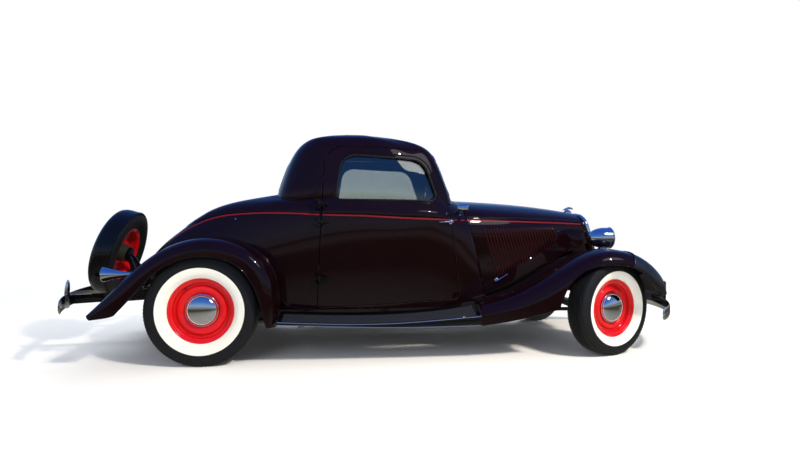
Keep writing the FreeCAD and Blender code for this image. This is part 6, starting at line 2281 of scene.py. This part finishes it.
    def build(self, skin: Skin) -> None:
        """Builds all trim."""
        self.shell_trim(skin)
        for side in (1, -1):
            self.door_trim(skin, side)
            self.hardware(skin, side)
        self.hinge_bodies(skin)
        self.lid_handle(skin)


@dataclass
class Plate:
    """Blank number plate with its embossed rim and bolts."""

    x: float = 2235.0
    half: float = 152.0
    low: float = 292.0
    high: float = 462.0

    def build(self) -> None:
        """Builds the plate and seats it."""
        outline = [(-self.half, self.low, 16), (self.half, self.low, 16), (self.half, self.high, 16),
            (-self.half, self.high, 16)]
        rings = []
        for x, inset in ((0, 0), (1.2, -0.0), (4, 0.6), (6.6, 2), (7.6, 4), (6.6, 6.4), (4.2, 8.5), (3.6, 11),
                (3.6, 40)):
            ring = rounded(grown(outline, -inset), 8, WHOLE)
            rings.append(across_x(self.x + x, ring))
        parts = [dress(loft("plate", rings, 40.0), PLATE)]
        for y in (-89.0, 89.0):
            bolt = ((0, 0), (0, 6), (3, 6), (4.2, 4), (4.2, 0))
            parts.append(turned("bolt", bolt, (self.x + 3.2, y, 435.0), (1, 0, 0), 20, STEEL_TRIM))
        bracket = prism("bracket", rounded([(2190, 300, 0), (2236, 300, 0), (2236, 330, 6), (2190, 330, 0)]), "y",
            -60, 60)
        parts.append(dress(bracket, BLACK_GLOSS))
        seat(joined("number_plate", parts), "car", "plate_paint", "front_plate")


@dataclass
class Cabin:
    """Pleated seat, steering wheel and gauges."""

    cushion: tuple = ((-830, 366, 10), (-830, 560, 30), (-320, 600, 60), (-330, 366, 14))
    back: tuple = ((-830, 562, 8), (-915, 1040, 60), (-790, 1060, 60), (-692, 574, 10))
    pleat: float = 66.0
    boss: tuple = ((-22, 0), (-21, 10), (-17, 20), (-8, 28), (4, 32), (16, 30), (20, 17), (20, 0))
    hub: Point = (-40.0, 330.0, 860.0)
    foot: Point = (470.0, 330.0, 470.0)

    def pad(self, name: str, corners: Sequence, half: float) -> Thing:
        """Crowned, pleated pad with piping along both ends.

        Args:
            name: Its name.
            corners: Its side view.
            half: Half its width.

        Returns:
            The pad.
        """
        rings = []
        ys = np.concatenate([half * -np.cos(np.linspace(0, 0.32, 7)), np.linspace(-0.93 * half, 0.93 * half, 131),
            half * np.cos(np.linspace(0.32, 0, 7))])
        for y in np.unique(ys):
            edge = max(0.0, (abs(y) - half + 34) / 34)
            inset = 30 * (1 - math.sqrt(max(0.0, 1 - edge * edge))) + 4.0
            channel = abs(math.sin(math.pi * y / self.pleat)) ** 0.45 if abs(y) < half - 60 else 1.0
            ring = rounded(grown(corners, -inset - 5.0 * (1 - channel)), 8, WHOLE)
            rings.append(across_y(y, ring))
        pad = dress(loft(name, rings, 50.0), CLOTH)
        parts = [pad]
        for y in (-half + 22, half - 22):
            ring = rounded(grown(corners, -5.0), 8, 60)
            seam = tube("piping", across_y(y, ring), 4.5, 8, closed=True)
            parts.append(dress(seam, HARD_RUBBER))
        return joined(name, parts)

    def wheel(self) -> Thing:
        """Steering wheel with grips, spokes, hub and column."""
        hub, foot = np.array(self.hub), np.array(self.foot)
        axis = unit(foot - hub)
        across = unit(np.cross(axis, (0, 1, 0)))
        t = np.linspace(0, 2 * math.pi, 181)[:-1]
        ring = hub + 200 * (np.cos(t)[:, None] * np.array([0, 1, 0]) + np.sin(t)[:, None] * across)
        parts = [dress(tube("rim", ring, 10.2 + 0.8 * np.cos(36 * t), 14, closed=True), HARD_RUBBER)]
        for angle in (90, 210, 330):
            turn = math.radians(angle)
            out = np.array([0, math.cos(turn), 0]) + across * math.sin(turn)
            line = smooth_line([hub, hub + out * 70 + axis * 4, hub + out * 150 + axis * 2, hub + out * 196], 14)
            parts.append(dress(tube("spoke", line, np.linspace(7, 5.5, 14), 12, flat=0.7), STEEL_TRIM))
        parts += [turned("boss", self.boss, hub, axis, 40, HARD_RUBBER),
            dress(tube("column", [hub + axis * 18, foot - axis * 40], 16.5, 24), BLACK_GLOSS)]
        return joined("steering_wheel", parts)

    def gauges(self) -> Thing:
        """Three round gauges with bright rims."""
        parts = []
        for y, r in ((330, 48), (215, 36), (445, 36)):
            place, way = (279.0, y, 985.0), (-1, 0, 0.11)
            rim = ((-4, r), (4, r), (7, r - 2), (7, r - 5), (2, r - 7), (-4, r - 7))
            needle = tube("needle", [(277, y - 4, 981), (275.5, y + r * 0.5, 985 + r * 0.4)], 1.2, 6)
            parts += [turned("gauge_rim", rim, place, way, 48, CHROME),
                turned("gauge_face", ((-4, 0), (-4, r - 6), (1, r - 6), (1.2, 0)), place, way, 48, HARD_RUBBER),
                dress(needle, WHITEWALL)]
        return joined("gauges", parts)

    def build(self) -> None:
        """Builds the cabin's pieces and seats them."""
        for name, corners, half, node, fill in (("seat_pad", self.cushion, 520.0, "seat_cushion", 0.85),
                ("seat_back_pad", self.back, 490.0, "seat_back", 0.8)):
            seat(self.pad(name, corners, half), "car", "seat_cloth", node)
        seat(self.wheel(), "car", "cabin_plastic", "steering_column")
        seat(self.gauges(), "car", "cabin_plastic")


# Finish of each CAD solid that shows as it is
CARRIED = {"floor_pan": CHASSIS, "frame": CHASSIS, "fuel_tank": CHASSIS, "front_axle": CHASSIS,
    "rear_axle": CHASSIS, "springs": CHASSIS, "tie_rod": CHASSIS, "knuckle_left": CHASSIS, "knuckle_right": CHASSIS,
    "bumper_arms": BLACK_GLOSS, "spare_carrier": BLACK_GLOSS, "exhaust": EXHAUST, "engine_block": IRON,
    "radiator": CORE, "dashboard": BODY_PAINT}


class Ray(Enum):
    """Kinds of light ray that the surroundings tell apart."""

    CAMERA = "Is Camera Ray"
    GLOSSY = "Is Glossy Ray"


def set_stops(ramp: bpy.types.ColorRamp, stops: Sequence[tuple[float, str]]) -> None:
    """Gives a colour ramp its stops.

    Args:
        ramp: The ramp, as new.
        stops: Place and sRGB colour of each stop.
    """
    for k, (at, colour) in enumerate(stops):
        stop = ramp.elements[k] if k < 2 else ramp.elements.new(at)
        stop.position, stop.color = at, srgb(colour)


@dataclass
class Studio:
    """Pale floor, white background, sky that only reflections see, lamps and the camera."""

    eye: Point = (-0.3295, -4.606, 0.99)
    turn: float = 5.56
    pitch: float = -0.63
    lens: float = 25.0
    floor_size: float = 60.0
    # Share of the way to the floor's edge and colour there: sunny beside the car, shaded further off, pale far away
    ground_stops: tuple = ((0.0, "a19e96"), (0.06, "a19e96"), (0.12, "48443c"), (0.3, "4a4740"), (0.55, "8d8a83"),
        (1.0, "a3a29d"))
    # Height over the horizon and colour there: hills, haze and blue sky
    sky_stops: tuple = ((0.0, "8a8984"), (0.02, "4a4e47"), (0.05, "8f9aa6"), (0.14, "8fa9cc"), (0.4, "4676c4"),
        (1.0, "2a58b4"))

    # Name, place, aim, width and height, watts, colour and whether gloss shows it, of each lamp
    lamps: tuple = (("key", (4.2, -5.2, 6.2), (0.2, 0, 0.6), (1.4, 1.4), 500, "fff4e4", False),
        ("sun_glint", (5.0, -6.2, 7.2), (0, 0, 0.8), (0.35, 0.35), 260, "fff6ea", True),
        ("sun_halo", (5.6, -6.9, 8.0), (0, 0, 0.8), (4.2, 4.2), 110, "fff8ee", True),
        ("fill", (-3.5, -6.0, 3.0), (0, 0, 0.6), (4.0, 2.5), 90, "eaf1ff", False),
        ("back", (-1.0, 4.5, 4.5), (0, 0, 0.8), (5.0, 2.0), 200, "f4f8ff", False))

    def floor(self) -> None:
        """Pale floor that looks like dark ground in reflections."""
        half = self.floor_size / 2
        mesh = bpy.data.meshes.new("floor")
        mesh.from_pydata([(-half, -half, 0), (half, -half, 0), (half, half, 0), (-half, half, 0)], [], [(0, 1, 2, 3)])
        item = new_thing("floor", mesh)
        made = bpy.data.materials.new("studio_floor")
        tree = new_tree(made)
        path = add_node(tree, "ShaderNodeLightPath").outputs
        place = add_node(tree, "ShaderNodeTexCoord").outputs["Object"]
        away = add_node(tree, "ShaderNodeVectorMath", {"operation": "LENGTH"}, links={0: place}).outputs["Value"]
        lit = add_node(tree, "ShaderNodeBsdfDiffuse", inputs={"Color": srgb("f8f8f8")})
        blank = add_node(tree, "ShaderNodeEmission", inputs={"Color": srgb("ffffff"), "Strength": 1.0})
        fade = add_node(tree, "ShaderNodeMapRange", {"interpolation_type": "SMOOTHSTEP"},
            {"From Min": 2.6, "From Max": 6.5}, {"Value": away})
        pale = mixed_shader(tree, fade.outputs[0], lit, blank)
        scaled = add_node(tree, "ShaderNodeMath", {"operation": "DIVIDE"}, {1: half}, {0: away})
        tone = add_node(tree, "ShaderNodeValToRGB", links={0: scaled.outputs[0]})
        set_stops(tone.color_ramp, self.ground_stops)
        ground = add_node(tree, "ShaderNodeEmission", inputs={"Strength": 1.0}, links={"Color": tone.outputs[0]})
        both = mixed_shader(tree, path[Ray.GLOSSY.value], pale, ground)
        add_node(tree, "ShaderNodeOutputMaterial", links={"Surface": both.outputs[0]})
        mesh.materials.append(made)

    def world(self) -> None:
        """White for the camera, a clear sky over a pale horizon for reflections, soft light for the rest."""
        world = bpy.data.worlds.new("studio_world")
        bpy.context.scene.world = world
        tree = new_tree(world)
        path = add_node(tree, "ShaderNodeLightPath").outputs
        way = add_node(tree, "ShaderNodeTexCoord").outputs["Generated"]
        height = add_node(tree, "ShaderNodeSeparateXYZ", links={0: way}).outputs[2]
        sky = add_node(tree, "ShaderNodeValToRGB", links={0: height})
        set_stops(sky.color_ramp, self.sky_stops)
        mirrored = add_node(tree, "ShaderNodeBackground", inputs={"Strength": 1.0}, links={"Color": sky.outputs[0]})
        soft = add_node(tree, "ShaderNodeBackground", inputs={"Color": srgb("eef3fb"), "Strength": 0.62})
        white = add_node(tree, "ShaderNodeBackground", inputs={"Color": (1, 1, 1, 1), "Strength": 1.0})
        seen = mixed_shader(tree, path[Ray.GLOSSY.value], soft, mirrored)
        full = mixed_shader(tree, path[Ray.CAMERA.value], seen, white)
        add_node(tree, "ShaderNodeOutputWorld", links={"Surface": full.outputs[0]})

    def lamp(self, name: str, place: Sequence[float], aim: Sequence[float], size: tuple[float, float], power: float,
            colour: str, mirrored: bool) -> None:
        """One soft area lamp.

        Args:
            name: Name of the lamp.
            place: Where it hangs, in metres.
            aim: What it points at.
            size: Its width and height.
            power: Its power in watts.
            colour: Its colour.
            mirrored: Whether gloss shows it.
        """
        data = bpy.data.lights.new(name, "AREA")
        data.shape, data.size, data.size_y, data.energy = "ELLIPSE", size[0], size[1], power
        data.color = srgb(colour)[:3]
        item = new_thing(name, data)
        item.location = place
        item.visible_glossy = mirrored
        item.rotation_euler = (Vector(aim) - Vector(place)).to_track_quat("-Z", "Y").to_euler()

    def build(self) -> None:
        """Builds the whole studio."""
        self.floor()
        self.world()
        for row in self.lamps:
            self.lamp(*row)
        data = bpy.data.cameras.new("camera")
        data.lens, data.sensor_width = self.lens, 36.0
        item = new_thing("camera", data)
        item.location = self.eye
        turn, pitch = math.radians(self.turn), math.radians(self.pitch)
        way = Vector((math.sin(turn) * math.cos(pitch), math.cos(turn) * math.cos(pitch), math.sin(pitch)))
        item.rotation_euler = way.to_track_quat("-Z", "Y").to_euler()
        bpy.context.scene.camera = item
        bpy.context.scene.view_settings.view_transform = "Standard"


def main() -> None:
    """Builds every piece of the car and the studio round it."""
    logging.basicConfig(level=logging.INFO, format="%(message)s")
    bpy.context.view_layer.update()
    body = Coachwork()
    body.shell_forms()
    skin = Skin.of(body.forms["outer"])
    body.shell()
    for side in (1, -1):
        body.door(side)
    body.lid()
    body.panes()
    LOG.info("coachwork done")
    Trim().build(skin)
    Plate().build()
    LOG.info("trim done")
    Fenders().build(body, skin)
    Boards().build(body.forms["outer"])
    LOG.info("fenders and boards done")
    Hood().build()
    Grille().build()
    LOG.info("hood and grille done")
    Lamps().build(body.forms["outer"])
    Bumper("front_bumper", 2190.0, 1050.0, 770.0, 244.0, 336.0, 1.0).build()
    Bumper("rear_bumper", -2494.0, 1950.0, 800.0, 360.0, 456.0, -1.0, 440.0).build()
    LOG.info("lamps and bumpers done")
    for wheel in road_wheels():
        wheel.build()
    Spare().build()
    LOG.info("wheels done")
    Cabin().build()
    body.finish_forms()
    for name, finish in CARRIED.items():
        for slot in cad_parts[name].material_slots:
            slot.material = finish.build()
    LOG.info("cabin done")
    Studio().build()


if __name__ == "__main__":
    main()
